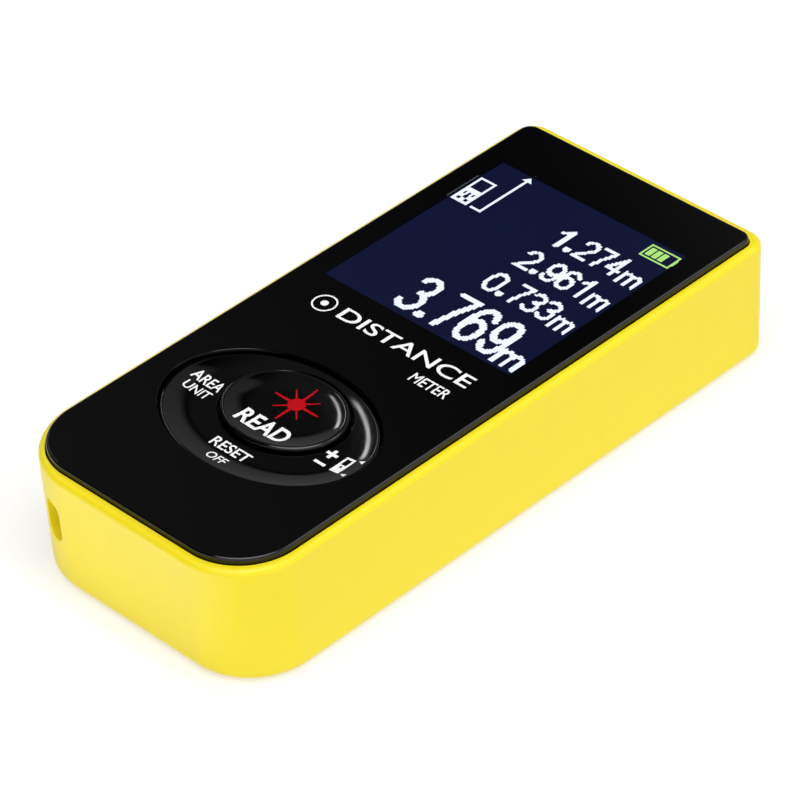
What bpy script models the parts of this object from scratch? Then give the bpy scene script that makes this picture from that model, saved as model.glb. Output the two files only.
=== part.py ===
"""Pocket laser distance meter, lying on its back.

Frame: +Y towards the laser end, +X to the right of the display, +Z out of the front.
The origin is on the resting face, under the middle of the body.
Lengths are in millimetres and become metres when a mesh is made.
"""
from math import cos, pi, radians, sin

import bmesh
import bpy
from mathutils import Matrix, Vector

MM = 0.001

# ---------------------------------------------------------------- driving dimensions
BODY_LENGTH = 87.7
BODY_WIDTH = 38.7
RIM_HEIGHT = 16.3
FRONT_PROUD = 0.8
FLOOR = 1.5
RIM_SIDE = 1.1
RIM_TOP_END = 1.5
RIM_LOW_END = 1.3
LOW_END_TAPER = 0.7
LOW_LEFT_CORNER = 10.1
LOW_RIGHT_CORNER = 8.9
OPEN_LOW_CORNER = 7.9
TOP_CORNER = 2.8
BASE_ROUND = 1.5
RIM_ROUND = 0.8
FRONT_GAP = 0.1
LENS_EDGE = 0.3

LENS_THICKNESS = 0.8
MASK_THICKNESS = 0.15
FRAME_THICKNESS = 2.35
DISPLAY_WIDTH = 30.0
DISPLAY_HEIGHT = 31.1
DISPLAY_CENTRE_Y = 18.6

RING_CENTRE_Y = -20.45
RING_HALF_X = 14.4
RING_HALF_Y = 10.6
RING_RECESS = 0.5
RING_DISH = 0.6
RING_DISH_REACH = 3.4
KEY_CENTRE_Y = -18.0
KEY_HALF_X = 8.1
KEY_HALF_Y = 6.7
KEY_RECESS = 0.4
KEY_DISH = 0.5
KEY_GAP = 0.25

BOARD_LOW = 8.6
BOARD_THICKNESS = 1.2
OPTICS_AXIS_Z = 6.95
RECEIVER_X = -4.5
LASER_X = 8.5
HOLDER_LOW_Y = 19.0
HOLDER_HIGH_Y = 41.2
HOLDER_LOW_Z = 1.75
HOLDER_HIGH_Z = 12.15

PART_GAP = 0.1
KEY_TRAVEL = 0.4
MEMBRANE_LOW = 10.95
MEMBRANE_HIGH = 11.6
MEMBRANE_REACH = 1.2
MEMBRANE_SKIRT = 0.6
BUMP_TOP = 11.75
DOME_RADIUS = 2.4
DOME_REACH_X = 11.4
DOME_REACH_Y = 7.6
PEG_RADIUS = 0.8
PEG_LOW = 12.2
PIVOT_Z = 14.2
RING_FLANGE_LOW = 13.75
RING_FLANGE_HIGH = 14.4
RING_FLANGE_REACH = 0.9
RING_BACK = 13.95
RING_STEPS = 48
KEY_STEPS = 36
DISH_STEPS = 5
SEAL_LOW = 14.1
SEAL_HIGH = 15.0
SEAL_INNER = 1.1

LABEL_CENTRE_Y = 21.0
LABEL_WIDTH = 28.0
LABEL_LENGTH = 22.0
LABEL_CORNER = 1.5
BEZEL_WIDTH = 25.0
BEZEL_HEIGHT = 9.4
BEZEL_DEPTH = 0.65
RECEIVER_WINDOW_RADIUS = 4.1
LASER_WINDOW_RADIUS = 2.4

POST_RADIUS = 2.3
HEAD_BORE = 1.9
HEAD_BORE_DEPTH = 1.2
SHANK_BORE = 1.0
THREAD_BORE = 0.95
OPTICS_POST_RADIUS = 1.9
OPTICS_POST_TOP = 3.8

CELL_CENTRE_Y = -22.3
CELL_LOW = 2.9
CELL_HIGH = 7.5

# ---------------------------------------------------------------- worked out from them
HALF_LENGTH = BODY_LENGTH / 2
HALF_WIDTH = BODY_WIDTH / 2
OVERALL_HEIGHT = RIM_HEIGHT + FRONT_PROUD
OPEN_HALF = HALF_WIDTH - RIM_SIDE
OPEN_LOW = -HALF_LENGTH + RIM_LOW_END
OPEN_HIGH = HALF_LENGTH - RIM_TOP_END
OPEN_TOP_CORNER = TOP_CORNER - RIM_SIDE
LENS_LOW = OVERALL_HEIGHT - LENS_THICKNESS
MASK_TOP = LENS_LOW - 0.1
FRAME_TOP = MASK_TOP - MASK_THICKNESS - 0.1
FRAME_LOW = FRAME_TOP - FRAME_THICKNESS
BOARD_TOP = BOARD_LOW + BOARD_THICKNESS
ON_BOARD = BOARD_TOP + PART_GAP
UNDER_BOARD = BOARD_LOW - PART_GAP
RING_CREST = OVERALL_HEIGHT - RING_RECESS
KEY_CREST = OVERALL_HEIGHT - KEY_RECESS
KEY_STEM_LOW = BUMP_TOP + KEY_TRAVEL + 0.05

LOW_SCREWS = ((-7.6, -39.8), (7.6, -39.8))
TOP_SCREWS = ((-15.9, 39.4), (15.9, 39.4))
CASE_SCREWS = LOW_SCREWS + TOP_SCREWS
OPTICS_SCREWS = ((-15.4, 28.0), (15.4, 28.0))

RING_DOME_PLACES = (
    ("dome_left", (-DOME_REACH_X, RING_CENTRE_Y)),
    ("dome_right", (DOME_REACH_X, RING_CENTRE_Y)),
    ("dome_clear", (0.0, RING_CENTRE_Y - DOME_REACH_Y)),
)
DOME_PLACES = (("dome_measure", (0.0, KEY_CENTRE_Y)),) + RING_DOME_PLACES

CHIPS = (
    ("processor_chip", (-13.0, -5.0), (4.0, 12.0), 11.0),
    ("memory_chip", (-2.0, 3.5), (6.5, 11.5), 10.8),
    ("driver_chip", (6.5, 11.5), (6.0, 11.0), 10.9),
    ("power_chip", (10.6, 14.4), (-5.5, -1.7), 10.8),
)

SOCKET_CENTRE_Y = -5.5
SOCKET_CENTRE_Z = 11.2
SOCKET_WIDTH = 7.6
SOCKET_BACK_X = -12.6
SOCKET_MOUTH_X = -17.9
COVER_HIGH_Y = 0.1
COVER_LENGTH = 11.8
COVER_HEIGHT = 5.2
COVER_THICKNESS = 0.5

SLOT_CORNER = (-HALF_WIDTH + LOW_LEFT_CORNER, -HALF_LENGTH + LOW_LEFT_CORNER)
SLOT_BLOCK_DEPTH = 4.2
SLOT_DEPTH = 3.2
SLOT_BAR = 1.6
SLOT_HALF_WIDTH = 1.5
SLOT_HALF_HEIGHT = 2.7
SLOT_Z = 9.1
SLOT_ANGLES = (200, 253)
BLOCK_ANGLES = (178, 264)


# ---------------------------------------------------------------- materials
def material(name, colour, roughness=0.5, metallic=0.0):
    """A plain shader in the part's colour (sRGB 0 to 1)."""
    mat = bpy.data.materials.new(name)
    mat.use_nodes = True
    shader = mat.node_tree.nodes["Principled BSDF"]
    linear = [c / 12.92 if c <= 0.04045 else ((c + 0.055) / 1.055) ** 2.4 for c in colour]
    shader.inputs["Base Color"].default_value = (*linear, 1.0)
    shader.inputs["Roughness"].default_value = roughness
    shader.inputs["Metallic"].default_value = metallic
    mat.diffuse_color = (*linear, 1.0)
    return mat


def make_materials():
    return {
        "yellow_shell": material("yellow_shell", (0.96, 0.88, 0.27), 0.38),
        "black_gloss": material("black_gloss", (0.03, 0.03, 0.03), 0.12),
        "clear_window": material("clear_window", (0.75, 0.78, 0.80), 0.03),
        "black_frame": material("black_frame", (0.05, 0.05, 0.05), 0.45),
        "black_film": material("black_film", (0.02, 0.02, 0.02), 0.35),
        "display_glass": material("display_glass", (0.06, 0.09, 0.20), 0.15),
        "dark_rubber": material("dark_rubber", (0.10, 0.10, 0.10), 0.8),
        "yellow_rubber": material("yellow_rubber", (0.90, 0.80, 0.22), 0.7),
        "silicone": material("silicone", (0.55, 0.55, 0.56), 0.6),
        "circuit_board": material("circuit_board", (0.05, 0.30, 0.15), 0.5),
        "chip_epoxy": material("chip_epoxy", (0.08, 0.08, 0.09), 0.5),
        "white_plastic": material("white_plastic", (0.88, 0.88, 0.84), 0.5),
        "copper_film": material("copper_film", (0.72, 0.45, 0.16), 0.4),
        "spring_steel": material("spring_steel", (0.72, 0.72, 0.72), 0.25, 1.0),
        "steel": material("steel", (0.62, 0.62, 0.63), 0.3, 1.0),
        "brass": material("brass", (0.75, 0.62, 0.32), 0.3, 1.0),
        "optical_glass": material("optical_glass", (0.70, 0.80, 0.85), 0.02),
        "red_filter": material("red_filter", (0.45, 0.05, 0.06), 0.05),
        "cell_foil": material("cell_foil", (0.70, 0.71, 0.73), 0.35, 0.8),
        "foam": material("foam", (0.20, 0.20, 0.21), 0.9),
        "label_film": material("label_film", (0.78, 0.78, 0.76), 0.5),
    }


# ---------------------------------------------------------------- outlines
def arc(cx, cy, radius, start, stop, steps):
    """Points of an arc, angles in degrees, both ends included."""
    angles = [radians(start + (stop - start) * i / steps) for i in range(steps + 1)]
    return [(cx + radius * cos(a), cy + radius * sin(a)) for a in angles]


def oval(cx, cy, half_x, half_y, steps):
    angles = [2 * pi * i / steps for i in range(steps)]
    return [(cx + half_x * cos(a), cy + half_y * sin(a)) for a in angles]


def circle(cx, cy, radius, steps):
    return oval(cx, cy, radius, radius, steps)


def ring_oval(grow, steps=RING_STEPS):
    """The function ring's outline, grown by the same amount all round."""
    return oval(0, RING_CENTRE_Y, RING_HALF_X + grow, RING_HALF_Y + grow, steps)


def body_outline(half, low, high, low_corners, top_corner, low_steps=8, top_steps=5):
    """The body's plan: larger corners (left, right) at the low end, smaller ones at the laser end."""
    left, right = low_corners
    corners = (
        (half - top_corner, high - top_corner, top_corner, 0, top_steps),
        (-half + top_corner, high - top_corner, top_corner, 90, top_steps),
        (-half + left, low + left, left, 180, low_steps),
        (half - right, low + right, right, 270, low_steps),
    )
    points = []
    for cx, cy, radius, start, steps in corners:
        points += arc(cx, cy, radius, start, start + 90, steps)
    return points


def shell_plan(inset, z):
    """The outer surface's plan at height z, moved in by inset."""
    low = -HALF_LENGTH + LOW_END_TAPER * (1 - z / RIM_HEIGHT)
    return body_outline(HALF_WIDTH - inset, low + inset, HALF_LENGTH - inset,
                        (LOW_LEFT_CORNER - inset, LOW_RIGHT_CORNER - inset), TOP_CORNER - inset)


def front_plan(inset):
    """The plan of what fills the housing's opening, moved in by inset from its edge."""
    low_corner = OPEN_LOW_CORNER - inset
    return body_outline(OPEN_HALF - inset, OPEN_LOW + inset, OPEN_HIGH - inset,
                        (low_corner, low_corner), max(OPEN_TOP_CORNER - inset, 0.4))


def rounded_rectangle(cx, cy, width, height, corner, steps=3):
    x, y = width / 2 - corner, height / 2 - corner
    centres = ((cx + x, cy + y, 0), (cx - x, cy + y, 90), (cx - x, cy - y, 180), (cx + x, cy - y, 270))
    return [p for px, py, start in centres for p in arc(px, py, corner, start, start + 90, steps)]


def level(points, z):
    return [(x, y, z) for x, y in points]


def end_level(points, y):
    """Points of an X-Z outline placed at depth y."""
    return [(x, y, z) for x, z in points]


def side_level(points, x):
    """Points of a Y-Z outline placed at x."""
    return [(x, y, z) for y, z in points]


# ---------------------------------------------------------------- mesh makers
def link(name, mesh, mat=None):
    obj = bpy.data.objects.new(name, mesh)
    bpy.context.scene.collection.objects.link(obj)
    if mat:
        mesh.materials.append(mat)
    return obj


def loft(name, loops, mat=None, closed_ring=False, sharp=35):
    """A solid through loops of equal length: capped at both ends, or joined end to end."""
    bm = bmesh.new()
    rows = [[bm.verts.new(Vector(p) * MM) for p in loop] for loop in loops]
    pairs = list(zip(rows, rows[1:]))
    if closed_ring:
        pairs.append((rows[-1], rows[0]))
    for a, b in pairs:
        for i in range(len(a)):
            j = (i + 1) % len(a)
            bm.faces.new((a[i], a[j], b[j], b[i]))
    if not closed_ring:
        bm.faces.new(rows[0])
        bm.faces.new(rows[-1])
    bmesh.ops.recalc_face_normals(bm, faces=bm.faces)
    mesh = bpy.data.meshes.new(name)
    bm.to_mesh(mesh)
    bm.free()
    mesh.shade_smooth()
    mesh.set_sharp_from_angle(angle=radians(sharp))
    return link(name, mesh, mat)


def prism(name, outline, low, high, mat=None):
    return loft(name, [level(outline, low), level(outline, high)], mat)


def block(name, x, y, z, mat=None, corner=0.3):
    """A block between two values on each axis, its upright edges rounded."""
    plan = rounded_rectangle((x[0] + x[1]) / 2, (y[0] + y[1]) / 2, x[1] - x[0], y[1] - y[0], corner, 2)
    return prism(name, plan, z[0], z[1], mat)


def turned(name, profile, steps, mat=None, centre=(0, 0), axis="Z"):
    """A solid of revolution: profile is (radius, distance along the axis), on the given centre.

    The centre is (x, y) for an upright axis and (x, z) for one along Y.
    """
    loops = []
    for radius, along in profile:
        plan = circle(centre[0], centre[1], radius, steps)
        loops.append(level(plan, along) if axis == "Z" else end_level(plan, along))
    return loft(name, loops, mat)


def tube(name, centre, inner, outer, low, high, steps, mat=None, axis="Z"):
    """A plain ring between two radii."""
    place = level if axis == "Z" else end_level
    wide, narrow = circle(*centre, outer, steps), circle(*centre, inner, steps)
    loops = [place(wide, low), place(wide, high), place(narrow, high), place(narrow, low)]
    return loft(name, loops, mat, closed_ring=True)


def helper(obj):
    obj.hide_render = True
    obj.display_type = "WIRE"
    return obj


def boolean(target, operand, operation):
    modifier = target.modifiers.new(operand.name, "BOOLEAN")
    modifier.operation = operation
    modifier.object = helper(operand)


def cut(target, *operands):
    for operand in operands:
        boolean(target, operand, "DIFFERENCE")


def add(target, *operands):
    for operand in operands:
        boolean(target, operand, "UNION")


# ---------------------------------------------------------------- housing
def sector(name, centre, inner, outer, start, stop, z, steps=8):
    plan = arc(*centre, outer, start, stop, steps) + arc(*centre, inner, stop, start, steps)
    return prism(name, plan, z[0], z[1])


def lanyard_corner(housing):
    """A thick corner with two upright mouths and a passage behind a bar, for a wrist loop."""
    radius = LOW_LEFT_CORNER
    passage_back = radius - SLOT_DEPTH
    block_z = (FLOOR - 0.1, SLOT_Z + SLOT_HALF_HEIGHT + 1.2)
    add(housing, sector("corner_block", SLOT_CORNER, radius - SLOT_BLOCK_DEPTH, radius - 0.7,
                        *BLOCK_ANGLES, block_z))
    passage_half = SLOT_HALF_HEIGHT - 0.5
    height = (SLOT_Z - passage_half, SLOT_Z + passage_half)
    cut(housing, sector("slot_passage", SLOT_CORNER, passage_back, radius - SLOT_BAR,
                        *SLOT_ANGLES, height))
    for angle in SLOT_ANGLES:
        opening = rounded_rectangle(0, 0, 2 * SLOT_HALF_HEIGHT, 2 * SLOT_HALF_WIDTH, 1.3, 5)
        mouth = prism(f"slot_mouth_{angle}", opening, passage_back, radius + 1)
        turn = Matrix.Rotation(radians(angle), 4, "Z") @ Matrix.Rotation(pi / 2, 4, "Y")
        mouth.matrix_world = Matrix.Translation(Vector((*SLOT_CORNER, SLOT_Z)) * MM) @ turn
        cut(housing, mouth)


def make_housing(mats):
    """The yellow tub: back, sides and both ends in one moulding."""
    round_steps = 3
    loops = []
    for i in range(round_steps + 1):
        turn = pi / 2 * i / round_steps
        z = BASE_ROUND * (1 - cos(turn))
        loops.append(level(shell_plan(BASE_ROUND * (1 - sin(turn)), z), z))
    for i in range(round_steps + 1):
        turn = pi / 2 * i / round_steps
        z = RIM_HEIGHT - RIM_ROUND * (1 - sin(turn))
        loops.append(level(shell_plan(RIM_ROUND * (1 - cos(turn)), z), z))
    loops.append(level(front_plan(0), RIM_HEIGHT))
    loops.append(level(front_plan(0), FLOOR))
    housing = loft("rear_housing", loops, mats["yellow_shell"], sharp=50)

    for i, (x, y) in enumerate(CASE_SCREWS, 1):
        column = [(POST_RADIUS, FLOOR - 0.3), (POST_RADIUS, BOARD_LOW - 0.5)]
        add(housing, turned(f"case_post_{i}", column, 16, None, (x, y)))
    for i, (x, y) in enumerate(OPTICS_SCREWS, 1):
        column = [(OPTICS_POST_RADIUS, FLOOR - 0.3), (OPTICS_POST_RADIUS, OPTICS_POST_TOP)]
        add(housing, turned(f"optics_post_{i}", column, 12, None, (x, y)))
    lanyard_corner(housing)
    for i, (x, y) in enumerate(CASE_SCREWS, 1):
        stepped = [(HEAD_BORE, -0.5), (HEAD_BORE, HEAD_BORE_DEPTH),
                   (SHANK_BORE, HEAD_BORE_DEPTH), (SHANK_BORE, BOARD_LOW)]
        cut(housing, turned(f"case_hole_{i}", stepped, 16, None, (x, y)))
    for i, (x, y) in enumerate(OPTICS_SCREWS, 1):
        bore = [(THREAD_BORE, 0.9), (THREAD_BORE, OPTICS_POST_TOP + 0.7)]
        cut(housing, turned(f"optics_hole_{i}", bore, 10, None, (x, y)))

    room = 0.3
    label = rounded_rectangle(0, LABEL_CENTRE_Y, LABEL_WIDTH + 2 * room, LABEL_LENGTH + 2 * room,
                              LABEL_CORNER + room)
    cut(housing, prism("label_recess", label, -0.5, 0.55))
    cut_window_recess(housing)
    cut_socket_opening(housing)
    return housing


def cut_window_recess(housing):
    """The recess for the optics bezel in the laser end, and the two beam holes behind it."""
    recess = rounded_rectangle(0, OPTICS_AXIS_Z, BEZEL_WIDTH + 0.5, BEZEL_HEIGHT + 0.5, 2.2)
    floor = HALF_LENGTH - BEZEL_DEPTH - 0.2
    cut(housing, loft("bezel_recess", [end_level(recess, floor), end_level(recess, HALF_LENGTH + 1)]))
    beams = (("receiver_hole", RECEIVER_X, RECEIVER_WINDOW_RADIUS),
             ("laser_hole", LASER_X, LASER_WINDOW_RADIUS))
    for name, x, window_radius in beams:
        radius = window_radius - 0.2
        ends = [(radius, OPEN_HIGH - 1), (radius, HALF_LENGTH + 0.5)]
        cut(housing, turned(name, ends, 20, None, (x, OPTICS_AXIS_Z), "Y"))


def cut_socket_opening(housing):
    """The plug's opening in the left side, inside a shallow recess for its cover."""
    cover_y = COVER_HIGH_Y - COVER_LENGTH / 2
    recess = rounded_rectangle(cover_y, SOCKET_CENTRE_Z, COVER_LENGTH + 0.4, COVER_HEIGHT + 0.4, 1.4)
    depth = -HALF_WIDTH + COVER_THICKNESS + 0.15
    cut(housing, loft("cover_recess", [side_level(recess, -HALF_WIDTH - 1), side_level(recess, depth)]))
    mouth = rounded_rectangle(SOCKET_CENTRE_Y, SOCKET_CENTRE_Z, 8.8, 3.6, 0.6)
    ends = [side_level(mouth, -HALF_WIDTH - 1), side_level(mouth, -OPEN_HALF + 1)]
    cut(housing, loft("plug_mouth", ends))


def make_label(mats):
    plan = rounded_rectangle(0, LABEL_CENTRE_Y, LABEL_WIDTH, LABEL_LENGTH, LABEL_CORNER)
    prism("rear_label", plan, 0.12, 0.42, mats["label_film"])


# ---------------------------------------------------------------- front
def make_front(mats):
    """Clear lens over a printed mask over the structural frame, all round the same key hole."""
    shoulder = FRONT_GAP + 0.05
    lens = loft("front_lens", [
        level(front_plan(FRONT_GAP), LENS_LOW),
        level(front_plan(shoulder), OVERALL_HEIGHT - LENS_EDGE),
        level(front_plan(shoulder + LENS_EDGE * 0.3), OVERALL_HEIGHT - LENS_EDGE * 0.3),
        level(front_plan(shoulder + LENS_EDGE), OVERALL_HEIGHT),
    ], mats["clear_window"])
    cut(lens, prism("lens_key_hole", ring_oval(KEY_GAP), 15, 18))

    mask = prism("front_mask", front_plan(FRONT_GAP + 0.4), MASK_TOP - MASK_THICKNESS, MASK_TOP,
                 mats["black_film"])
    cut(mask, prism("mask_key_hole", ring_oval(KEY_GAP + 0.3), 15, 18))
    window = rounded_rectangle(0, DISPLAY_CENTRE_Y, DISPLAY_WIDTH, DISPLAY_HEIGHT, 0.2, 1)
    cut(mask, prism("mask_window", window, 15, 18))

    frame = prism("front_frame", front_plan(FRONT_GAP), FRAME_LOW, FRAME_TOP, mats["black_frame"])
    for i, (x, y) in enumerate(CASE_SCREWS, 1):
        boss = [(HEAD_BORE, BOARD_LOW - 0.2), (HEAD_BORE, FRAME_LOW + 0.5)]
        add(frame, turned(f"boss_{i}", boss, 14, None, (x, y)))
    cut(frame, prism("frame_key_hole", ring_oval(KEY_GAP), 12, 18))
    cut(frame, prism("frame_flange_room", ring_oval(RING_FLANGE_REACH + 0.9), 12, 15))
    well = rounded_rectangle(0, DISPLAY_CENTRE_Y, DISPLAY_WIDTH + 4.0, DISPLAY_HEIGHT + 4.9, 0.5, 2)
    cut(frame, prism("display_well", well, 12, 18))
    cut(frame, block("flex_notch", (-6.6, 6.6), (-1.8, 2), (12, 18)))
    outer = [level(front_plan(-1.0), z) for z in (SEAL_LOW, SEAL_HIGH)]
    inner = [level(front_plan(SEAL_INNER), z) for z in (SEAL_HIGH, SEAL_LOW)]
    cut(frame, loft("seal_groove", outer + inner, closed_ring=True))
    for i, (x, y) in enumerate(CASE_SCREWS, 1):
        bore = [(THREAD_BORE, BOARD_LOW - 0.6), (THREAD_BORE, FRAME_LOW - 1)]
        cut(frame, turned(f"boss_hole_{i}", bore, 12, None, (x, y)))


def make_seal(mats):
    """The dust seal in a groove around the frame's edge."""
    wide, narrow, low, high = 0.12, SEAL_INNER - 0.15, SEAL_LOW + 0.12, SEAL_HIGH - 0.12
    loops = [level(front_plan(wide), low), level(front_plan(wide), high),
             level(front_plan(narrow), high), level(front_plan(narrow), low)]
    loft("housing_seal", loops, mats["dark_rubber"], closed_ring=True)


# ---------------------------------------------------------------- keys
def between(inner, outer, share, z):
    """An oval part way from the inner one to the outer one, each (centre y, half x, half y)."""
    centre, half_x, half_y = [low + (high - low) * share for low, high in zip(inner, outer)]
    return level(oval(0, centre, half_x, half_y, RING_STEPS), z)


def dished(loop):
    """Set a loop's heights on the ring's dish, which drops as it goes in from the crest."""
    placed = []
    for x, y, _ in loop:
        along = Vector((x / RING_HALF_X, (y - RING_CENTRE_Y) / RING_HALF_Y))
        away = (1 - along.length) * Vector((along.x * RING_HALF_X, along.y * RING_HALF_Y)).length
        share = min(max(away / along.length / RING_DISH_REACH, 0), 1)
        placed.append((x, y, RING_CREST - RING_DISH * (1 - (1 - share) ** 1.7)))
    return placed


def make_function_ring(mats, parent):
    """The dished oval ring. Its inner hole is off centre, and three pegs reach down to the domes."""
    hole = KEY_GAP + 0.1
    inner = (KEY_CENTRE_Y, KEY_HALF_X + hole, KEY_HALF_Y + hole)
    outer = (RING_CENTRE_Y, RING_HALF_X, RING_HALF_Y)
    crest = (RING_CENTRE_Y, RING_HALF_X - 0.4, RING_HALF_Y - 0.4)
    flange = (RING_CENTRE_Y, RING_HALF_X + RING_FLANGE_REACH, RING_HALF_Y + RING_FLANGE_REACH)
    loops = [between(inner, flange, 1, RING_FLANGE_LOW), between(inner, flange, 1, RING_FLANGE_HIGH),
             between(inner, outer, 1, RING_FLANGE_HIGH), between(inner, outer, 1, RING_CREST - 0.3),
             between(inner, crest, 1, RING_CREST)]
    for i in range(1, DISH_STEPS + 1):
        loops.append(dished(between(inner, crest, 1 - i / DISH_STEPS, 0)))
    loops.append(between(inner, outer, 0, RING_CREST - RING_DISH - 0.15))
    loops.append(between(inner, outer, 0, RING_BACK))
    loops.append(between(inner, flange, 0.8, RING_BACK))
    ring = loft("function_key_ring", loops, mats["black_gloss"], closed_ring=True)
    for name, place in RING_DOME_PLACES:
        peg = [(PEG_RADIUS, PEG_LOW), (PEG_RADIUS, RING_BACK + 0.3)]
        add(ring, turned(f"peg_{name}", peg, 12, None, place))
    hold(ring, parent)


def make_pivot_ring(mats, parent):
    inner, outer, low, high = ring_oval(-0.3), ring_oval(0.8), 12.4, 13.1
    loops = [level(outer, low), level(outer, high), level(inner, high), level(inner, low)]
    hold(loft("key_pivot_ring", loops, mats["silicone"], closed_ring=True), parent)


def make_measure_key(mats, parent):
    """The oval centre key: a raised rim round a shallow dish, a retaining flange and a stem."""
    dish = KEY_CREST - KEY_DISH
    stem, flange = 0.38, 1.12
    profile = [
        (stem, KEY_STEM_LOW), (stem, 12.9), (flange, 12.9), (flange, 13.5), (1.0, 13.5),
        (1.0, KEY_CREST - 0.3), (0.985, KEY_CREST - 0.08), (0.955, KEY_CREST),
        (0.88, KEY_CREST - 0.18), (0.78, KEY_CREST - 0.36), (0.66, dish + 0.04),
        (0.54, dish), (0.05, dish),
    ]
    loops = []
    for share, z in profile:
        plan = oval(0, KEY_CENTRE_Y, KEY_HALF_X * share, KEY_HALF_Y * share, KEY_STEPS)
        loops.append(level(plan, z))
    hold(loft("measure_key", loops, mats["black_gloss"]), parent)


def make_membrane(mats):
    """The rubber sheet: a skirt on the board, and a bump over each dome."""
    edge = ring_oval(MEMBRANE_REACH)
    sheet = prism("keypad_membrane", edge, MEMBRANE_LOW, MEMBRANE_HIGH, mats["silicone"])
    inside, top = ring_oval(MEMBRANE_REACH - MEMBRANE_SKIRT), MEMBRANE_LOW + 0.2
    loops = [level(edge, ON_BOARD), level(edge, top), level(inside, top), level(inside, ON_BOARD)]
    add(sheet, loft("membrane_skirt", loops, closed_ring=True))
    for name, place in DOME_PLACES:
        bump = [(0.7, ON_BOARD + 0.85), (0.9, MEMBRANE_HIGH - 0.2),
                (1.9, MEMBRANE_HIGH - 0.1), (1.4, BUMP_TOP)]
        add(sheet, turned(f"bump_{name}", bump, 12, None, place))


def make_domes(mats):
    for name, place in DOME_PLACES:
        cap = [(DOME_RADIUS, ON_BOARD), (DOME_RADIUS * 0.8, ON_BOARD + 0.3),
               (DOME_RADIUS * 0.4, ON_BOARD + 0.5)]
        turned(name, cap, 16, mats["spring_steel"], place)


# ---------------------------------------------------------------- display
def make_display(mats):
    cx, cy = 0, DISPLAY_CENTRE_Y
    glass = rounded_rectangle(cx, cy, DISPLAY_WIDTH + 3.2, DISPLAY_HEIGHT + 3.9, 0.3, 1)
    prism("display_panel", glass, 14.45, FRAME_TOP, mats["display_glass"])
    plate = rounded_rectangle(cx, cy, DISPLAY_WIDTH + 2.4, DISPLAY_HEIGHT + 3.0, 0.3, 1)
    prism("display_backlight", plate, 13.25, 14.3, mats["white_plastic"])
    tray = rounded_rectangle(cx, cy, DISPLAY_WIDTH + 3.6, DISPLAY_HEIGHT + 4.3, 0.5, 2)
    frame = prism("display_frame", tray, 12.5, 14.3, mats["black_frame"])
    pocket = rounded_rectangle(cx, cy, DISPLAY_WIDTH + 2.8, DISPLAY_HEIGHT + 3.4, 0.3, 1)
    cut(frame, prism("tray_pocket", pocket, 13.05, 15))


def make_display_flex(mats):
    """The flat cable: from the display's lower edge down to its socket on the board."""
    route = ((0.8, 15.1), (-0.3, 15.0), (-1.1, 14.2), (-1.1, 12.4),
             (-1.4, 11.3), (-2.0, 10.85), (-2.6, 10.8))
    half_width, thick = 5.5, 0.2
    loops = []
    for i, (y, z) in enumerate(route):
        before, after = route[max(i - 1, 0)], route[min(i + 1, len(route) - 1)]
        along = Vector((after[0] - before[0], after[1] - before[1])).normalized()
        side = Vector((-along[1], along[0])) * thick / 2
        near, far = (y + side[0], z + side[1]), (y - side[0], z - side[1])
        loops.append([(-half_width, *near), (half_width, *near), (half_width, *far), (-half_width, *far)])
    loft("display_flex", loops, mats["copper_film"])
    block("display_connector", (-7.0, 7.0), (-5.5, -2.8), (ON_BOARD, 11.3), mats["white_plastic"])


# ---------------------------------------------------------------- electronics
def make_board(mats):
    """The circuit board, notched round the bosses of the front frame."""
    plan = rounded_rectangle(0, -12.6, 33.0, 54.4, 5.0, 5)
    board = prism("main_board", plan, BOARD_LOW, BOARD_TOP, mats["circuit_board"])
    for i, (x, y) in enumerate(LOW_SCREWS, 1):
        notch = rounded_rectangle(x, y - 2.0, 4.8, 8.8, 2.2, 4)
        cut(board, prism(f"board_notch_{i}", notch, 8, 11))

    clear_of_block = LOW_LEFT_CORNER - SLOT_BLOCK_DEPTH - 0.4
    corner = sector("board_corner", SLOT_CORNER, clear_of_block, LOW_LEFT_CORNER + 3, 176, 268, (8, 11))
    cut(board, corner)

    for name, x, y, high in CHIPS:
        block(name, x, y, (ON_BOARD, high), mats["chip_epoxy"])
    buzzer = [(4.4, UNDER_BOARD - 3.2), (4.6, UNDER_BOARD - 3.0), (4.6, UNDER_BOARD)]
    turned("buzzer", buzzer, 24, mats["chip_epoxy"], (9.4, 7.5))
    block("battery_connector", (-3.0, 3.0), (-5.0, -1.8), (6.3, UNDER_BOARD), mats["white_plastic"])


def make_battery(mats):
    cell = rounded_rectangle(0, CELL_CENTRE_Y, 28.5, 28.0, 1.2, 3)
    prism("battery_cell", cell, CELL_LOW, CELL_HIGH, mats["cell_foil"])
    pad = rounded_rectangle(0, CELL_CENTRE_Y, 22.0, 22.0, 1.0, 2)
    prism("battery_pad", pad, FLOOR + PART_GAP, CELL_LOW - PART_GAP, mats["foam"])
    block("battery_lead", (-2.2, 2.2), (-8.1, -5.15), (6.9, 7.3), mats["copper_film"], 0.15)


def make_charging_socket(mats):
    """A steel shell with an open mouth and a tongue, on the board's left edge."""
    back, mouth = SOCKET_BACK_X, SOCKET_MOUTH_X
    low, high = ON_BOARD, 12.45
    middle = (low + high) / 2
    shell = rounded_rectangle(SOCKET_CENTRE_Y, middle, SOCKET_WIDTH, high - low, 0.5, 3)
    socket = loft("charging_socket", [side_level(shell, back), side_level(shell, mouth)], mats["steel"])
    hollow = rounded_rectangle(SOCKET_CENTRE_Y, middle, SOCKET_WIDTH - 0.7, high - low - 0.7, 0.35, 3)
    cut(socket, loft("socket_hollow", [side_level(hollow, back - 0.6), side_level(hollow, mouth - 1)]))
    tongue = rounded_rectangle(SOCKET_CENTRE_Y, middle + 0.1, 4.4, 0.6, 0.15, 1)
    add(socket, loft("socket_tongue", [side_level(tongue, back - 0.3), side_level(tongue, mouth + 0.9)]))


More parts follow.
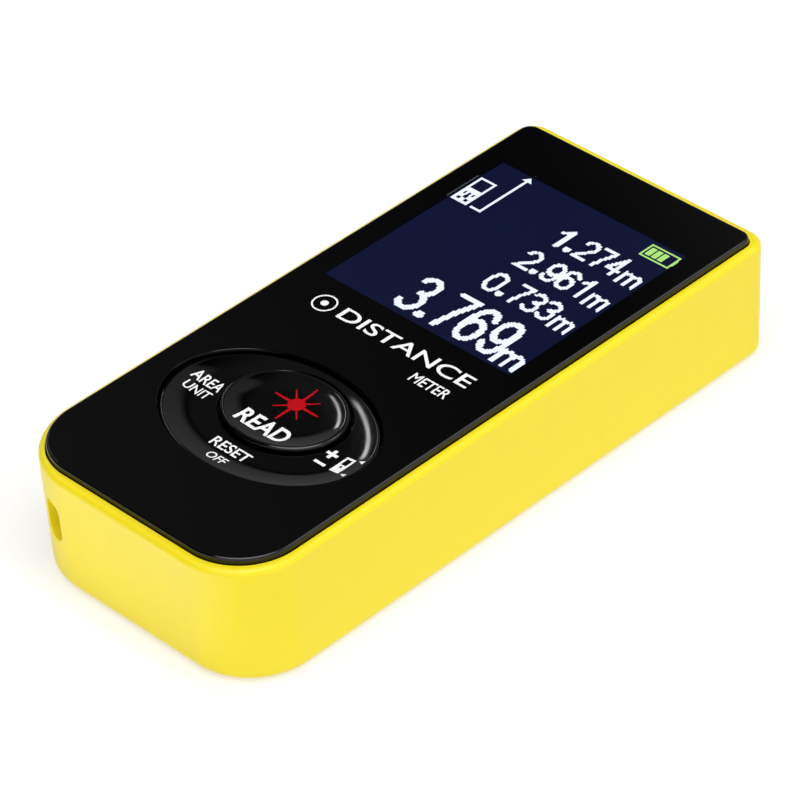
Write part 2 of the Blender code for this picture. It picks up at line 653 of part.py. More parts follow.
def make_charging_cover(mats, parent):
    """The rubber flap over the socket, with a low plug that seats in the mouth."""
    middle_y = COVER_HIGH_Y - COVER_LENGTH / 2
    plan = rounded_rectangle(middle_y, SOCKET_CENTRE_Z, COVER_LENGTH, COVER_HEIGHT, 1.2)
    inner = -HALF_WIDTH + COVER_THICKNESS
    faces = [side_level(plan, -HALF_WIDTH), side_level(plan, inner)]
    cover = loft("charging_cover", faces, mats["yellow_rubber"])
    plug = rounded_rectangle(SOCKET_CENTRE_Y, SOCKET_CENTRE_Z, 7.8, 2.6, 0.5, 2)
    add(cover, loft("cover_plug", [side_level(plug, inner - 0.2), side_level(plug, inner + 0.5)]))
    hold(cover, parent)


# ---------------------------------------------------------------- optics
def lens_profile(radius, low, high, bulge):
    """A lens with two crowned faces, from low to high along its axis."""
    rim_low, rim_high = low + bulge, high - bulge
    return [(radius * 0.15, low), (radius * 0.55, low + bulge * 0.3), (radius, rim_low),
            (radius, rim_high), (radius * 0.55, high - bulge * 0.3), (radius * 0.15, high)]


def make_optics_holder(mats):
    """The rigid block that keeps laser and receiver in line, with an ear on each side."""
    plan = rounded_rectangle(0.3, (HOLDER_LOW_Y + HOLDER_HIGH_Y) / 2, 25.6,
                             HOLDER_HIGH_Y - HOLDER_LOW_Y, 1.0, 2)
    holder = prism("optics_holder", plan, HOLDER_LOW_Z, HOLDER_HIGH_Z, mats["black_frame"])
    for i, (x, y) in enumerate(OPTICS_SCREWS, 1):
        inside = x * 0.7
        ear = rounded_rectangle((x + inside) / 2, y, abs(x - inside) + 3.6, 3.8, 1.7, 4)
        add(holder, prism(f"ear_{i}", ear, 4.0, 5.4))
    receiver = [(2.5, HOLDER_LOW_Y - 1), (2.5, 24.0), (4.65, 30.0), (4.65, HOLDER_HIGH_Y + 1)]
    cut(holder, turned("receiver_bore", receiver, 24, None, (RECEIVER_X, OPTICS_AXIS_Z), "Y"))
    beam = [(3.15, HOLDER_LOW_Y - 1), (3.15, HOLDER_HIGH_Y + 1)]
    cut(holder, turned("laser_bore", beam, 20, None, (LASER_X, OPTICS_AXIS_Z), "Y"))
    for i, (x, y) in enumerate(OPTICS_SCREWS, 1):
        cut(holder, turned(f"ear_hole_{i}", [(THREAD_BORE, 3), (THREAD_BORE, 7)], 10, None, (x, y)))


def make_optics(mats):
    make_optics_holder(mats)
    laser, receiver = (LASER_X, OPTICS_AXIS_Z), (RECEIVER_X, OPTICS_AXIS_Z)
    can = [(2.8, 20.0), (2.8, 21.2), (1.8, 21.2), (1.8, 24.4)]
    turned("laser_diode", can, 20, mats["brass"], laser, "Y")
    tube("collimator_barrel", laser, 2.1, 2.95, 28.5, 40.5, 24, mats["brass"], "Y")
    turned("collimator_lens", lens_profile(1.95, 36.0, 38.4, 0.7), 20, mats["optical_glass"], laser, "Y")
    turned("receiver_lens", lens_profile(4.45, 37.2, 40.4, 1.2), 28, mats["optical_glass"], receiver, "Y")
    turned("receiver_filter", [(2.3, 20.6), (2.3, 21.6)], 16, mats["red_filter"], receiver, "Y")
    x, z = receiver
    block("detector", (x - 2.0, x + 2.0), (17.2, 18.4), (z - 2.0, z + 2.0), mats["chip_epoxy"])
    shield = block("detector_shield", (x - 3.6, x + 3.6), (15.2, 18.7), (z - 3.4, z + 3.4), mats["steel"])
    cut(shield, block("shield_hollow", (x - 3.1, x + 3.1), (15.7, 20), (z - 2.9, z + 2.9)))
    for i, (x, y) in enumerate(OPTICS_SCREWS, 1):
        turned(f"optics_screw_{i}", [(0.7, 1.2), (0.7, 5.6), (1.5, 5.6), (1.5, 6.5)], 12,
               mats["steel"], (x, y))


def make_windows(mats):
    """The dark bezel in the laser end and its two clear windows."""
    face = rounded_rectangle(0, OPTICS_AXIS_Z, BEZEL_WIDTH, BEZEL_HEIGHT, 2.0)
    high = HALF_LENGTH - 0.05
    low = high - BEZEL_DEPTH
    bezel = loft("optics_bezel", [end_level(face, low), end_level(face, high)], mats["black_gloss"])
    places = (("receiver_window", RECEIVER_X, RECEIVER_WINDOW_RADIUS),
              ("laser_window", LASER_X, LASER_WINDOW_RADIUS))
    for name, x, radius in places:
        centre = (x, OPTICS_AXIS_Z)
        wide = [(radius + 0.12, low - 1), (radius + 0.12, high + 1)]
        cut(bezel, turned(f"hole_{name}", wide, 28, None, centre, "Y"))
        pane = [(radius, low + PART_GAP / 2), (radius, high - PART_GAP)]
        turned(name, pane, 28, mats["optical_glass"], centre, "Y")


# ---------------------------------------------------------------- fasteners and joints
def make_case_screws(mats):
    """Machine screws from the back, with a cross recess, into the front frame's bosses."""
    for i, (x, y) in enumerate(CASE_SCREWS, 1):
        profile = [(1.5, 0.35), (1.7, 0.55), (1.7, 1.1), (0.8, 1.1), (0.8, 11.8), (0.4, 12.3)]
        screw = turned(f"case_screw_{i}", profile, 14, mats["steel"], (x, y))
        for name, half_x, half_y in (("across", 0.9, 0.2), ("along", 0.2, 0.9)):
            cut(screw, block(f"recess_{name}_{i}", (x - half_x, x + half_x), (y - half_y, y + half_y),
                             (-0.2, 0.8), None, 0.1))


def axis_empty(name, place, parent=None):
    """An empty on a joint's axis, which the moving piece hangs from."""
    empty = bpy.data.objects.new(name, None)
    bpy.context.scene.collection.objects.link(empty)
    empty.location = Vector(place) * MM
    if parent:
        empty.parent = parent
        empty.location = (Vector(place) - Vector(parent["place"])) * MM
    empty["place"] = place
    empty.empty_display_size = 5 * MM
    return empty


def hold(obj, empty):
    """Parent a piece to its axis empty without moving it."""
    obj.parent = empty
    obj.location = -Vector(empty["place"]) * MM


def main():
    for old in list(bpy.data.objects):
        bpy.data.objects.remove(old)
    mats = make_materials()

    ring_axis = (0, RING_CENTRE_Y, PIVOT_Z)
    pivot = axis_empty("key_pivot_axis", ring_axis)
    ring_tilt = axis_empty("function_ring_axis", ring_axis, pivot)
    press = axis_empty("measure_key_axis", (0, KEY_CENTRE_Y, KEY_CREST))
    flap = axis_empty("charging_cover_axis", (-HALF_WIDTH, COVER_HIGH_Y, SOCKET_CENTRE_Z))

    make_housing(mats)
    make_label(mats)
    make_front(mats)
    make_seal(mats)
    make_function_ring(mats, ring_tilt)
    make_pivot_ring(mats, pivot)
    make_measure_key(mats, press)
    make_membrane(mats)
    make_domes(mats)
    make_display(mats)
    make_display_flex(mats)
    make_board(mats)
    make_battery(mats)
    make_charging_socket(mats)
    make_charging_cover(mats, flap)
    make_optics(mats)
    make_windows(mats)
    make_case_screws(mats)


main()
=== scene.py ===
"""The looks of a pocket laser distance meter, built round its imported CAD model.

Lengths are in millimetres and become metres when a mesh is made, in the frame's own axes:
+Y towards the laser end, +X to the right of the display, +Z out of the front.
Sizes that the CAD model fixes are read from its nodes; the others are named here.
"""
from math import cos, hypot, pi, radians, sin

import bmesh
import bpy
from mathutils import Matrix, Vector


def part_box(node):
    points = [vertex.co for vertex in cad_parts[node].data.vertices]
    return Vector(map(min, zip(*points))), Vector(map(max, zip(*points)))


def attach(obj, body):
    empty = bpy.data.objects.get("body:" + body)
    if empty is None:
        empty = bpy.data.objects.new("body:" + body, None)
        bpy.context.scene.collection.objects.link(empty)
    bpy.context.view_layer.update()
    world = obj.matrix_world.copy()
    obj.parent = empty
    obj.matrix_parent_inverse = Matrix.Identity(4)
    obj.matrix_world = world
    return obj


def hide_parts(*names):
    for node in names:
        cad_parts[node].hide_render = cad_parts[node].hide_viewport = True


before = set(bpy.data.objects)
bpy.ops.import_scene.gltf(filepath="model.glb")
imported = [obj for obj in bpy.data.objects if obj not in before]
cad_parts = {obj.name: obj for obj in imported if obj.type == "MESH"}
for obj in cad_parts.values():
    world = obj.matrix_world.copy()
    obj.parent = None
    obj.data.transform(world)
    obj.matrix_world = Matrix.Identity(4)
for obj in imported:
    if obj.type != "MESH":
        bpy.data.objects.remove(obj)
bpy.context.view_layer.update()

MM = 0.001


def extent(node):
    """A CAD node's lowest and highest corners, in millimetres."""
    low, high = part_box(node)
    return low / MM, high / MM


def middle(corners, axis):
    """The middle of a box along one axis."""
    return (getattr(corners[0], axis) + getattr(corners[1], axis)) / 2


def span(corners, axis):
    """The length of a box along one axis."""
    return getattr(corners[1], axis) - getattr(corners[0], axis)


def window_place(node):
    """(x, z, radius) of a round piece in the laser end."""
    corners = extent(node)
    return middle(corners, "x"), middle(corners, "z"), span(corners, "x") / 2


# -------------------------------- sizes read from the frame
SHELL = extent("rear_housing")
LENS = extent("front_lens")
PANEL = extent("display_panel")
RING = extent("function_key_ring")
KEY = extent("measure_key")
BEZEL = extent("optics_bezel")
COVER = extent("charging_cover")
LABEL = extent("rear_label")
SOCKET = extent("charging_socket")
SOCKET_Y = middle(SOCKET, "y")
SOCKET_Z = middle(SOCKET, "z")
WINDOWS = {node: window_place(node) for node in ("receiver_window", "laser_window")}

HALF_WIDTH = SHELL[1].x
HALF_LENGTH = SHELL[1].y
RIM_HEIGHT = SHELL[1].z
TOP = LENS[1].z
PRINT = 0.02
PANEL_TOP = TOP - PRINT

# -------------------------------- shell
LOW_END_TAPER = 0.7
LOW_LEFT_CORNER = 10.1
LOW_RIGHT_CORNER = 8.9
TOP_CORNER = 2.8
OPEN_LOW_CORNER = 7.9
OPEN_TOP_CORNER = 1.7
RIM_SIDE = 1.1
FRONT_GAP = SHELL[1].x - LENS[1].x - RIM_SIDE
PANEL_DRAFT = 0.05
PANEL_EDGE = 0.32
BASE_ROUND = 1.5
RIM_ROUND = 0.8
FLOOR = 1.5
OPEN_HALF = LENS[1].x + FRONT_GAP
OPEN_LOW = LENS[0].y - FRONT_GAP
OPEN_HIGH = LENS[1].y + FRONT_GAP

SLOT_CORNER = (-HALF_WIDTH + LOW_LEFT_CORNER, -HALF_LENGTH + LOW_LEFT_CORNER)
SLOT_BLOCK_DEPTH = 4.2
SLOT_BLOCK_INSET = 0.7
SLOT_BLOCK_TOP = 1.2
SLOT_DEPTH = 3.2
SLOT_BAR = 1.6
SLOT_HALF_WIDTH = 1.5
SLOT_HALF_HEIGHT = 2.7
SLOT_MOUTH_CORNER = 1.3
SLOT_PASSAGE_EDGE = 0.5
SLOT_Z = 9.1
SLOT_ANGLES = (200, 253)
BLOCK_ANGLES = (178, 264)

CASE_SCREWS = [extent(f"case_screw_{i}") for i in range(1, 5)]
SCREW_PLACES = [(middle(screw, "x"), middle(screw, "y")) for screw in CASE_SCREWS]
HEAD_BORE = 1.9
HEAD_BORE_DEPTH = 1.2
SHANK_BORE = 1.0
SHANK_BORE_TOP = 8.6
POST_RADIUS = 2.3
POST_TOP = 8.1
LABEL_CORNER = 1.5
BEZEL_CORNER = 2.0
COVER_CORNER = 1.2

# -------------------------------- keys
RING_FLANGE = 0.9
RING_FLANGE_TRIM = 0.12
RING_CENTRE_Y = middle(RING, "y")
RING_HALF_X = RING[1].x - RING_FLANGE
RING_HALF_Y = span(RING, "y") / 2 - RING_FLANGE
RING_CREST = RING[1].z
RING_EDGE = 0.4
RING_DISH = 0.6
RING_DISH_REACH = 3.4
RING_BACK = 13.95
RING_FLANGE_LOW = 13.75
RING_FLANGE_HIGH = 14.4
PEG_RADIUS = 0.8
PEG_LOW = RING[0].z
KEY_FLANGE = 1.12
KEY_FLANGE_LOW = 12.9
KEY_FLANGE_HIGH = 13.5
KEY_STEM = 0.38
KEY_CENTRE_Y = middle(KEY, "y")
KEY_HALF_X = KEY[1].x / KEY_FLANGE
KEY_HALF_Y = span(KEY, "y") / 2 / KEY_FLANGE
KEY_CREST = KEY[1].z
KEY_EDGE = 0.4
KEY_DISH = 0.5
KEY_FLAT = 0.55
KEY_GAP = 0.25
RING_HOLE = KEY_GAP + 0.1
PANEL_HOLE_GAP = 0.16

# -------------------------------- display
DISPLAY_SIDE = 1.6
DISPLAY_END = 1.95
DISPLAY_HALF = PANEL[1].x - DISPLAY_SIDE
DISPLAY_LOW = PANEL[0].y + DISPLAY_END
DISPLAY_HIGH = PANEL[1].y - DISPLAY_END
DISPLAY_FACE = 16.62
PIXEL_FACE = 16.66
WINDOW_LOW = 16.7
DISPLAY_CELLS = 128
PITCH = 2 * DISPLAY_HALF / DISPLAY_CELLS

# -------------------------------- camera
CAMERA_PLACE = (285.97, -278.86, 315.51)
CAMERA_RIGHT = (0.71645, 0.69682, -0.03376)
CAMERA_UP = (-0.40684, 0.45663, 0.79118)
CAMERA_LENS = 194.57


# ================================================================ materials
def linear(red, green, blue):
    """An sRGB colour, 0 to 255, as the light it stands for."""
    shares = [c / 255 for c in (red, green, blue)]
    return [c / 12.92 if c <= 0.04045 else ((c + 0.055) / 1.055) ** 2.4 for c in shares]


def start_material(name):
    mat = bpy.data.materials.new(f"look_{name}")
    mat.use_nodes = True
    return mat, mat.node_tree, mat.node_tree.nodes["Principled BSDF"]


def pattern(tree, size, kind="ShaderNodeTexNoise", detail=3.0):
    """A procedural pattern in the piece's own coordinates, its features size millimetres across."""
    place = tree.nodes.new("ShaderNodeTexCoord")
    node = tree.nodes.new(kind)
    node.inputs["Scale"].default_value = 1 / (size * MM)
    if "Detail" in node.inputs:
        node.inputs["Detail"].default_value = detail
    tree.links.new(place.outputs["Object"], node.inputs["Vector"])
    return node


def vary_colour(tree, socket, value, colour, other):
    """A colour between two, by a pattern's value."""
    mix = tree.nodes.new("ShaderNodeMix")
    mix.data_type = "RGBA"
    mix.inputs["A"].default_value = (*colour, 1)
    mix.inputs["B"].default_value = (*other, 1)
    tree.links.new(value, mix.inputs["Factor"])
    tree.links.new(mix.outputs["Result"], socket)


def vary_value(tree, socket, value, low, high):
    """A number between two, by a pattern's value."""
    spread = tree.nodes.new("ShaderNodeMapRange")
    spread.inputs["From Min"].default_value = 0.3
    spread.inputs["From Max"].default_value = 0.7
    spread.inputs["To Min"].default_value = low
    spread.inputs["To Max"].default_value = high
    tree.links.new(value, spread.inputs["Value"])
    tree.links.new(spread.outputs["Result"], socket)


def raise_surface(tree, shader, value, depth, strength):
    bump = tree.nodes.new("ShaderNodeBump")
    bump.inputs["Distance"].default_value = depth * MM
    bump.inputs["Strength"].default_value = strength
    tree.links.new(value, bump.inputs["Height"])
    tree.links.new(bump.outputs["Normal"], shader.inputs["Normal"])


def finish(name, colour, shade=0.93, blotch=6.0, rough=(0.3, 0.4), grain=0.12, depth=0.01,
           strength=0.3, **sockets):
    """A solid material: colour and gloss vary a little over it, and its skin has a fine grain."""
    mat, tree, shader = start_material(name)
    for socket, value in sockets.items():
        shader.inputs[socket.replace("_", " ")].default_value = value
    broad = pattern(tree, blotch)
    vary_colour(tree, shader.inputs["Base Color"], broad.outputs[0], colour, [c * shade for c in colour])
    middle = pattern(tree, blotch / 5, detail=4)
    vary_value(tree, shader.inputs["Roughness"], middle.outputs[0], *rough)
    fine = pattern(tree, grain, detail=2)
    raise_surface(tree, shader, fine.outputs[0], depth, strength)
    return mat


def board_finish():
    """Green lacquer over copper tracks."""
    mat, tree, shader = start_material("circuit_board")
    tracks = pattern(tree, 3.0, "ShaderNodeTexBrick")
    tracks.inputs["Mortar Size"].default_value = 0.06
    tracks.inputs["Color1"].default_value = (0.006, 0.10, 0.035, 1)
    tracks.inputs["Color2"].default_value = (0.004, 0.07, 0.025, 1)
    tracks.inputs["Mortar"].default_value = (0.03, 0.2, 0.06, 1)
    tree.links.new(tracks.outputs["Color"], shader.inputs["Base Color"])
    cloud = pattern(tree, 1.0)
    vary_value(tree, shader.inputs["Roughness"], cloud.outputs[0], 0.3, 0.5)
    raise_surface(tree, shader, tracks.outputs["Fac"], 0.03, 0.5)
    return mat


def cellular_finish(name, colour, size):
    """Open foam or woven film: small cells, darker between them."""
    mat, tree, shader = start_material(name)
    cells = pattern(tree, size, "ShaderNodeTexVoronoi")
    darker = [c * 0.5 for c in colour]
    vary_colour(tree, shader.inputs["Base Color"], cells.outputs["Distance"], colour, darker)
    vary_value(tree, shader.inputs["Roughness"], cells.outputs["Distance"], 0.75, 0.95)
    raise_surface(tree, shader, cells.outputs["Distance"], size * 0.3, 0.8)
    return mat


def glass_finish(name, tint, index, gloss=0.02):
    """A clear pane: what is behind it shows, and its outer face mirrors the room by the viewing angle."""
    mat, tree, shader = start_material(name)
    tree.nodes.remove(shader)
    through = tree.nodes.new("ShaderNodeBsdfTransparent")
    mirror = tree.nodes.new("ShaderNodeBsdfAnisotropic")
    angle = tree.nodes.new("ShaderNodeFresnel")
    side = tree.nodes.new("ShaderNodeNewGeometry")
    outside = tree.nodes.new("ShaderNodeMix")
    both = tree.nodes.new("ShaderNodeMixShader")
    angle.inputs["IOR"].default_value = index
    mirror.inputs["Color"].default_value = (1, 1, 1, 1)
    haze = pattern(tree, 2.0)
    vary_value(tree, mirror.inputs["Roughness"], haze.outputs[0], gloss, gloss * 1.8)
    vary_colour(tree, through.inputs["Color"], haze.outputs[0], tint, [c * 0.97 for c in tint])
    tree.links.new(side.outputs["Backfacing"], outside.inputs["Factor"])
    tree.links.new(angle.outputs["Fac"], outside.inputs["A"])
    outside.inputs["B"].default_value = 0.0
    tree.links.new(outside.outputs["Result"], both.inputs["Fac"])
    tree.links.new(through.outputs["BSDF"], both.inputs[1])
    tree.links.new(mirror.outputs["BSDF"], both.inputs[2])
    tree.links.new(both.outputs["Shader"], tree.nodes["Material Output"].inputs["Surface"])
    return mat


def glow_finish(name, colour, other, strength, size):
    """Lit display cells: a dark gloss surface that gives off light, a little unevenly."""
    mat, tree, shader = start_material(name)
    shader.inputs["Base Color"].default_value = (0.001, 0.001, 0.002, 1)
    shader.inputs["Roughness"].default_value = 0.3
    shader.inputs["Specular IOR Level"].default_value = 0.0
    shader.inputs["Emission Strength"].default_value = strength
    cloud = pattern(tree, size)
    vary_colour(tree, shader.inputs["Emission Color"], cloud.outputs[0], colour, other)
    return mat


def make_finishes():
    """One finish for each material slot of the record, and those of the print and the display."""
    black = (0.0008, 0.0008, 0.0009)
    return {
        "yellow_shell": finish("yellow_shell", (0.88, 0.72, 0.012), 0.97, 9.0, (0.33, 0.4), 0.16, 0.012, 0.35,
                               Specular_IOR_Level=0.38),
        "black_gloss": finish("black_gloss", black, 0.8, 12.0, (0.03, 0.05), 1.5, 0.002, 0.1),
        "black_key": finish("black_key", black, 0.8, 9.0, (0.06, 0.1), 0.8, 0.002, 0.12),
        "clear_window": glass_finish("clear_window", (0.93, 0.95, 1.0), 1.5),
        "black_frame": finish("black_frame", linear(22, 22, 23), 0.8, 5.0, (0.4, 0.5), 0.1, 0.012, 0.4),
        "black_film": finish("black_film", linear(14, 14, 14), 0.8, 5.0, (0.3, 0.4), 0.2, 0.004, 0.2),
        "display_glass": glow_finish("display_glass", linear(13, 19, 49), linear(17, 24, 57), 1.0, 14.0),
        "display_white": glow_finish("display_white", (0.97, 0.98, 1.0), (0.88, 0.93, 1.0), 1.25, 0.3),
        "display_green": glow_finish("display_green", linear(190, 240, 130), linear(175, 230, 112), 1.2, 0.3),
        "dark_rubber": finish("dark_rubber", linear(30, 30, 31), 0.8, 4.0, (0.7, 0.85), 0.15, 0.02, 0.4),
        "yellow_rubber": finish("yellow_rubber", (0.84, 0.66, 0.02), 0.94, 4.0, (0.5, 0.6), 0.12, 0.02, 0.4),
        "silicone": finish("silicone", linear(120, 120, 124), 0.9, 5.0, (0.5, 0.6), 0.2, 0.01, 0.3),
        "circuit_board": board_finish(),
        "chip_epoxy": finish("chip_epoxy", linear(26, 26, 28), 0.85, 3.0, (0.45, 0.6), 0.08, 0.01, 0.4),
        "white_plastic": finish("white_plastic", linear(232, 232, 224), 0.94, 4.0, (0.35, 0.45), 0.15, 0.01),
        "copper_film": finish("copper_film", linear(190, 120, 48), 0.8, 3.0, (0.3, 0.4), 0.3, 0.01),
        "spring_steel": finish("spring_steel", linear(190, 190, 192), 0.9, 2.0, (0.2, 0.3), 0.1, 0.004,
                               Metallic=1.0),
        "steel": finish("steel", linear(176, 176, 180), 0.88, 1.5, (0.25, 0.38), 0.1, 0.006, Metallic=1.0),
        "brass": finish("brass", linear(200, 168, 90), 0.88, 2.0, (0.25, 0.35), 0.1, 0.005, Metallic=1.0),
        "optical_glass": glass_finish("optical_glass", (0.82, 0.88, 0.92), 1.52),
        "red_filter": finish("red_filter", linear(120, 12, 14), 0.85, 2.0, (0.05, 0.08), 0.5, 0.001, 0.1),
        "cell_foil": finish("cell_foil", linear(178, 180, 184), 0.92, 4.0, (0.3, 0.4), 0.6, 0.03, 0.4,
                            Metallic=0.85),
        "foam": cellular_finish("foam", linear(52, 52, 54), 0.4),
        "label_film": finish("label_film", linear(196, 197, 198), 0.93, 3.0, (0.35, 0.45), 0.12, 0.006, 0.3,
                             Metallic=0.4),
        "white_ink": finish("white_ink", linear(249, 249, 250), 0.96, 1.5, (0.35, 0.45), 0.1, 0.002, 0.2),
        "red_ink": finish("red_ink", (0.48, 0.0006, 0.006), 0.9, 1.0, (0.4, 0.5), 0.1, 0.002, 0.2,
                          Specular_IOR_Level=0.12),
    }


# ================================================================ outlines
def arc(cx, cy, radius, start, stop, steps):
    """Points of an arc, angles in degrees, both ends included."""
    angles = [radians(start + (stop - start) * i / steps) for i in range(steps + 1)]
    return [(cx + radius * cos(a), cy + radius * sin(a)) for a in angles]


def oval(cx, cy, half_x, half_y, steps=192):
    angles = [2 * pi * i / steps for i in range(steps)]
    return [(cx + half_x * cos(a), cy + half_y * sin(a)) for a in angles]


def body_outline(half, low, high, low_corners, top_corner, low_steps=28, top_steps=14):
    left, right = low_corners
    corners = (
        (half - top_corner, high - top_corner, top_corner, 0, top_steps),
        (-half + top_corner, high - top_corner, top_corner, 90, top_steps),
        (-half + left, low + left, left, 180, low_steps),
        (half - right, low + right, right, 270, low_steps),
    )
    return [p for cx, cy, r, start, steps in corners for p in arc(cx, cy, r, start, start + 90, steps)]


def shell_plan(inset, z):
    """The outer surface's plan at height z, moved in by inset."""
    low = -HALF_LENGTH + LOW_END_TAPER * (1 - z / RIM_HEIGHT)
    corners = (LOW_LEFT_CORNER - inset, LOW_RIGHT_CORNER - inset)
    return body_outline(HALF_WIDTH - inset, low + inset, HALF_LENGTH - inset, corners, TOP_CORNER - inset)


def front_plan(inset):
    """The plan of what fills the housing's opening, moved in by inset from its edge."""
    corner = OPEN_LOW_CORNER - inset
    top_corner = max(OPEN_TOP_CORNER - inset, 0.4)
    return body_outline(OPEN_HALF - inset, OPEN_LOW + inset, OPEN_HIGH - inset, (corner, corner), top_corner)


def rounded_rectangle(cx, cy, width, height, corner, steps=10):
    x, y = width / 2 - corner, height / 2 - corner
    centres = ((cx + x, cy + y, 0), (cx - x, cy + y, 90), (cx - x, cy - y, 180), (cx + x, cy - y, 270))
    return [p for px, py, start in centres for p in arc(px, py, corner, start, start + 90, steps)]


def level(points, z):
    return [(x, y, z) for x, y in points]


def end_level(points, y):
    """Points of an X-Z outline placed at depth y."""
    return [(x, y, z) for x, z in points]


def side_level(points, x):
    """Points of a Y-Z outline placed at x."""
    return [(x, y, z) for y, z in points]


def rounding(radius, steps=6):
    """Steps round a quarter circle: (moved in, down from the top), from the wall to the flat."""
    turns = [pi / 2 * i / steps for i in range(steps + 1)]
    return [(radius * (1 - cos(t)), radius * (1 - sin(t))) for t in turns]


# ================================================================ mesh makers
def link(name, bm, mat=None):
    bmesh.ops.recalc_face_normals(bm, faces=bm.faces)
    mesh = bpy.data.meshes.new(name)
    bm.to_mesh(mesh)
    bm.free()
    obj = bpy.data.objects.new(name, mesh)
    bpy.context.scene.collection.objects.link(obj)
    if mat:
        mesh.materials.append(mat)
    return obj


def loft(name, loops, mat=None, ring=False):
    """A solid through loops of equal length: capped at both ends, or joined end to end."""
    bm = bmesh.new()
    rows = [[bm.verts.new(Vector(p) * MM) for p in loop] for loop in loops]
    pairs = list(zip(rows, rows[1:]))
    if ring:
        pairs.append((rows[-1], rows[0]))
    for a, b in pairs:
        for i in range(len(a)):
            j = (i + 1) % len(a)
            bm.faces.new((a[i], a[j], b[j], b[i]))
    if not ring:
        bm.faces.new(rows[0])
        bm.faces.new(rows[-1])
    return link(name, bm, mat)


def prism(name, outline, low, high, mat=None):
    return loft(name, [level(outline, low), level(outline, high)], mat)


def turned(name, profile, mat=None, centre=(0, 0), axis="Z", steps=64):
    """A solid of revolution: profile is (radius, distance along the axis)."""
    loops = []
    for radius, along in profile:
        plan = oval(centre[0], centre[1], radius, radius, steps)
        loops.append(level(plan, along) if axis == "Z" else end_level(plan, along))
    return loft(name, loops, mat)


def bake(obj):
    """Apply a piece's modifiers to its mesh."""
    bpy.context.view_layer.update()
    shape = obj.evaluated_get(bpy.context.evaluated_depsgraph_get())
    old = obj.data
    obj.data = bpy.data.meshes.new_from_object(shape)
    obj.modifiers.clear()
    bpy.data.meshes.remove(old)


def combine(obj, tools, operation):
    for tool in tools:
        modifier = obj.modifiers.new(tool.name, "BOOLEAN")
        modifier.operation = operation
        modifier.object = tool
    bake(obj)
    for tool in tools:
        bpy.data.objects.remove(tool)


def cut(obj, *tools):
    combine(obj, tools, "DIFFERENCE")


def add(obj, *tools):
    combine(obj, tools, "UNION")


def soften(obj, sharp=32):
    """Smooth shading, broken at edges sharper than the angle, with flat faces kept flat."""
    obj.data.shade_smooth()
    obj.data.set_sharp_from_angle(angle=radians(sharp))
    weighted = obj.modifiers.new("flat_faces", "WEIGHTED_NORMAL")
    weighted.keep_sharp = True
    weighted.weight = 90
    bake(obj)


def show(obj, body, slot, *nodes, sharp=32):
    """Complete a piece: shade it, make it ride, and hide the CAD nodes that it stands for."""
    soften(obj, sharp)
    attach(obj, body)
    if nodes:
        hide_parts(*nodes)


# ================================================================ shell
def sector(name, inner, outer, start, stop, z):
    """Part of a ring about the lanyard corner's centre."""
    plan = arc(*SLOT_CORNER, outer, start, stop, 20) + arc(*SLOT_CORNER, inner, stop, start, 20)
    return prism(name, plan, z[0], z[1])


def slot_mouth(angle):
    """The cutter for one mouth of the lanyard slot, flared where it meets the outside."""
    radius = LOW_LEFT_CORNER
    flare = ((0, radius - SLOT_DEPTH), (0, radius - 0.4), (0.04, radius - 0.25), (0.14, radius - 0.12),
             (0.32, radius), (1.2, radius + 0.6))
    loops = []
    for wide, z in flare:
        height, width = 2 * (SLOT_HALF_HEIGHT + wide), 2 * (SLOT_HALF_WIDTH + wide)
        plan = rounded_rectangle(0, 0, height, width, SLOT_MOUTH_CORNER + wide)
        loops.append(level(plan, z))
    mouth = loft(f"mouth_{angle}", loops)
    turn = Matrix.Rotation(radians(angle), 4, "Z") @ Matrix.Rotation(pi / 2, 4, "Y")
    mouth.matrix_world = Matrix.Translation(Vector((*SLOT_CORNER, SLOT_Z)) * MM) @ turn
    return mouth


def make_shell(looks):
    """The yellow tub: rounded base, soft rim edges, and its openings."""
    loops = []
    for inset, height in reversed(rounding(BASE_ROUND, 10)):
        loops.append(level(shell_plan(inset, height), height))
    for inset, drop in rounding(RIM_ROUND, 8):
        loops.append(level(shell_plan(inset, RIM_HEIGHT - drop), RIM_HEIGHT - drop))
    inner_edge = 0.08
    for inset, drop in reversed(rounding(inner_edge, 4)):
        loops.append(level(front_plan(-inset), RIM_HEIGHT - drop))
    loops.append(level(front_plan(0), FLOOR))
    shell = loft("body_shell", loops, looks["yellow_shell"])

    radius = LOW_LEFT_CORNER
    block_z = (FLOOR - 0.1, SLOT_Z + SLOT_HALF_HEIGHT + SLOT_BLOCK_TOP)
    posts = [turned(f"post_{i}", [(POST_RADIUS, FLOOR - 0.3), (POST_RADIUS, POST_TOP)], None, place)
             for i, place in enumerate(SCREW_PLACES)]
    outside = radius - SLOT_BLOCK_INSET
    add(shell, sector("block", radius - SLOT_BLOCK_DEPTH, outside, *BLOCK_ANGLES, block_z), *posts)
    passage = (SLOT_Z - SLOT_HALF_HEIGHT + SLOT_PASSAGE_EDGE, SLOT_Z + SLOT_HALF_HEIGHT - SLOT_PASSAGE_EDGE)
    tools = [sector("passage", radius - SLOT_DEPTH, radius - SLOT_BAR, *SLOT_ANGLES, passage)]
    tools += [slot_mouth(angle) for angle in SLOT_ANGLES]
    for i, place in enumerate(SCREW_PLACES):
        stepped = [(HEAD_BORE + 0.45, -0.2), (HEAD_BORE + 0.25, 0), (HEAD_BORE, 0.25),
                   (HEAD_BORE, HEAD_BORE_DEPTH), (SHANK_BORE, HEAD_BORE_DEPTH), (SHANK_BORE, SHANK_BORE_TOP)]
        tools.append(turned(f"bore_{i}", stepped, None, place))
    tools += recess_tools()
    cut(shell, *tools)
    show(shell, "case", "yellow_shell", "rear_housing", sharp=28)


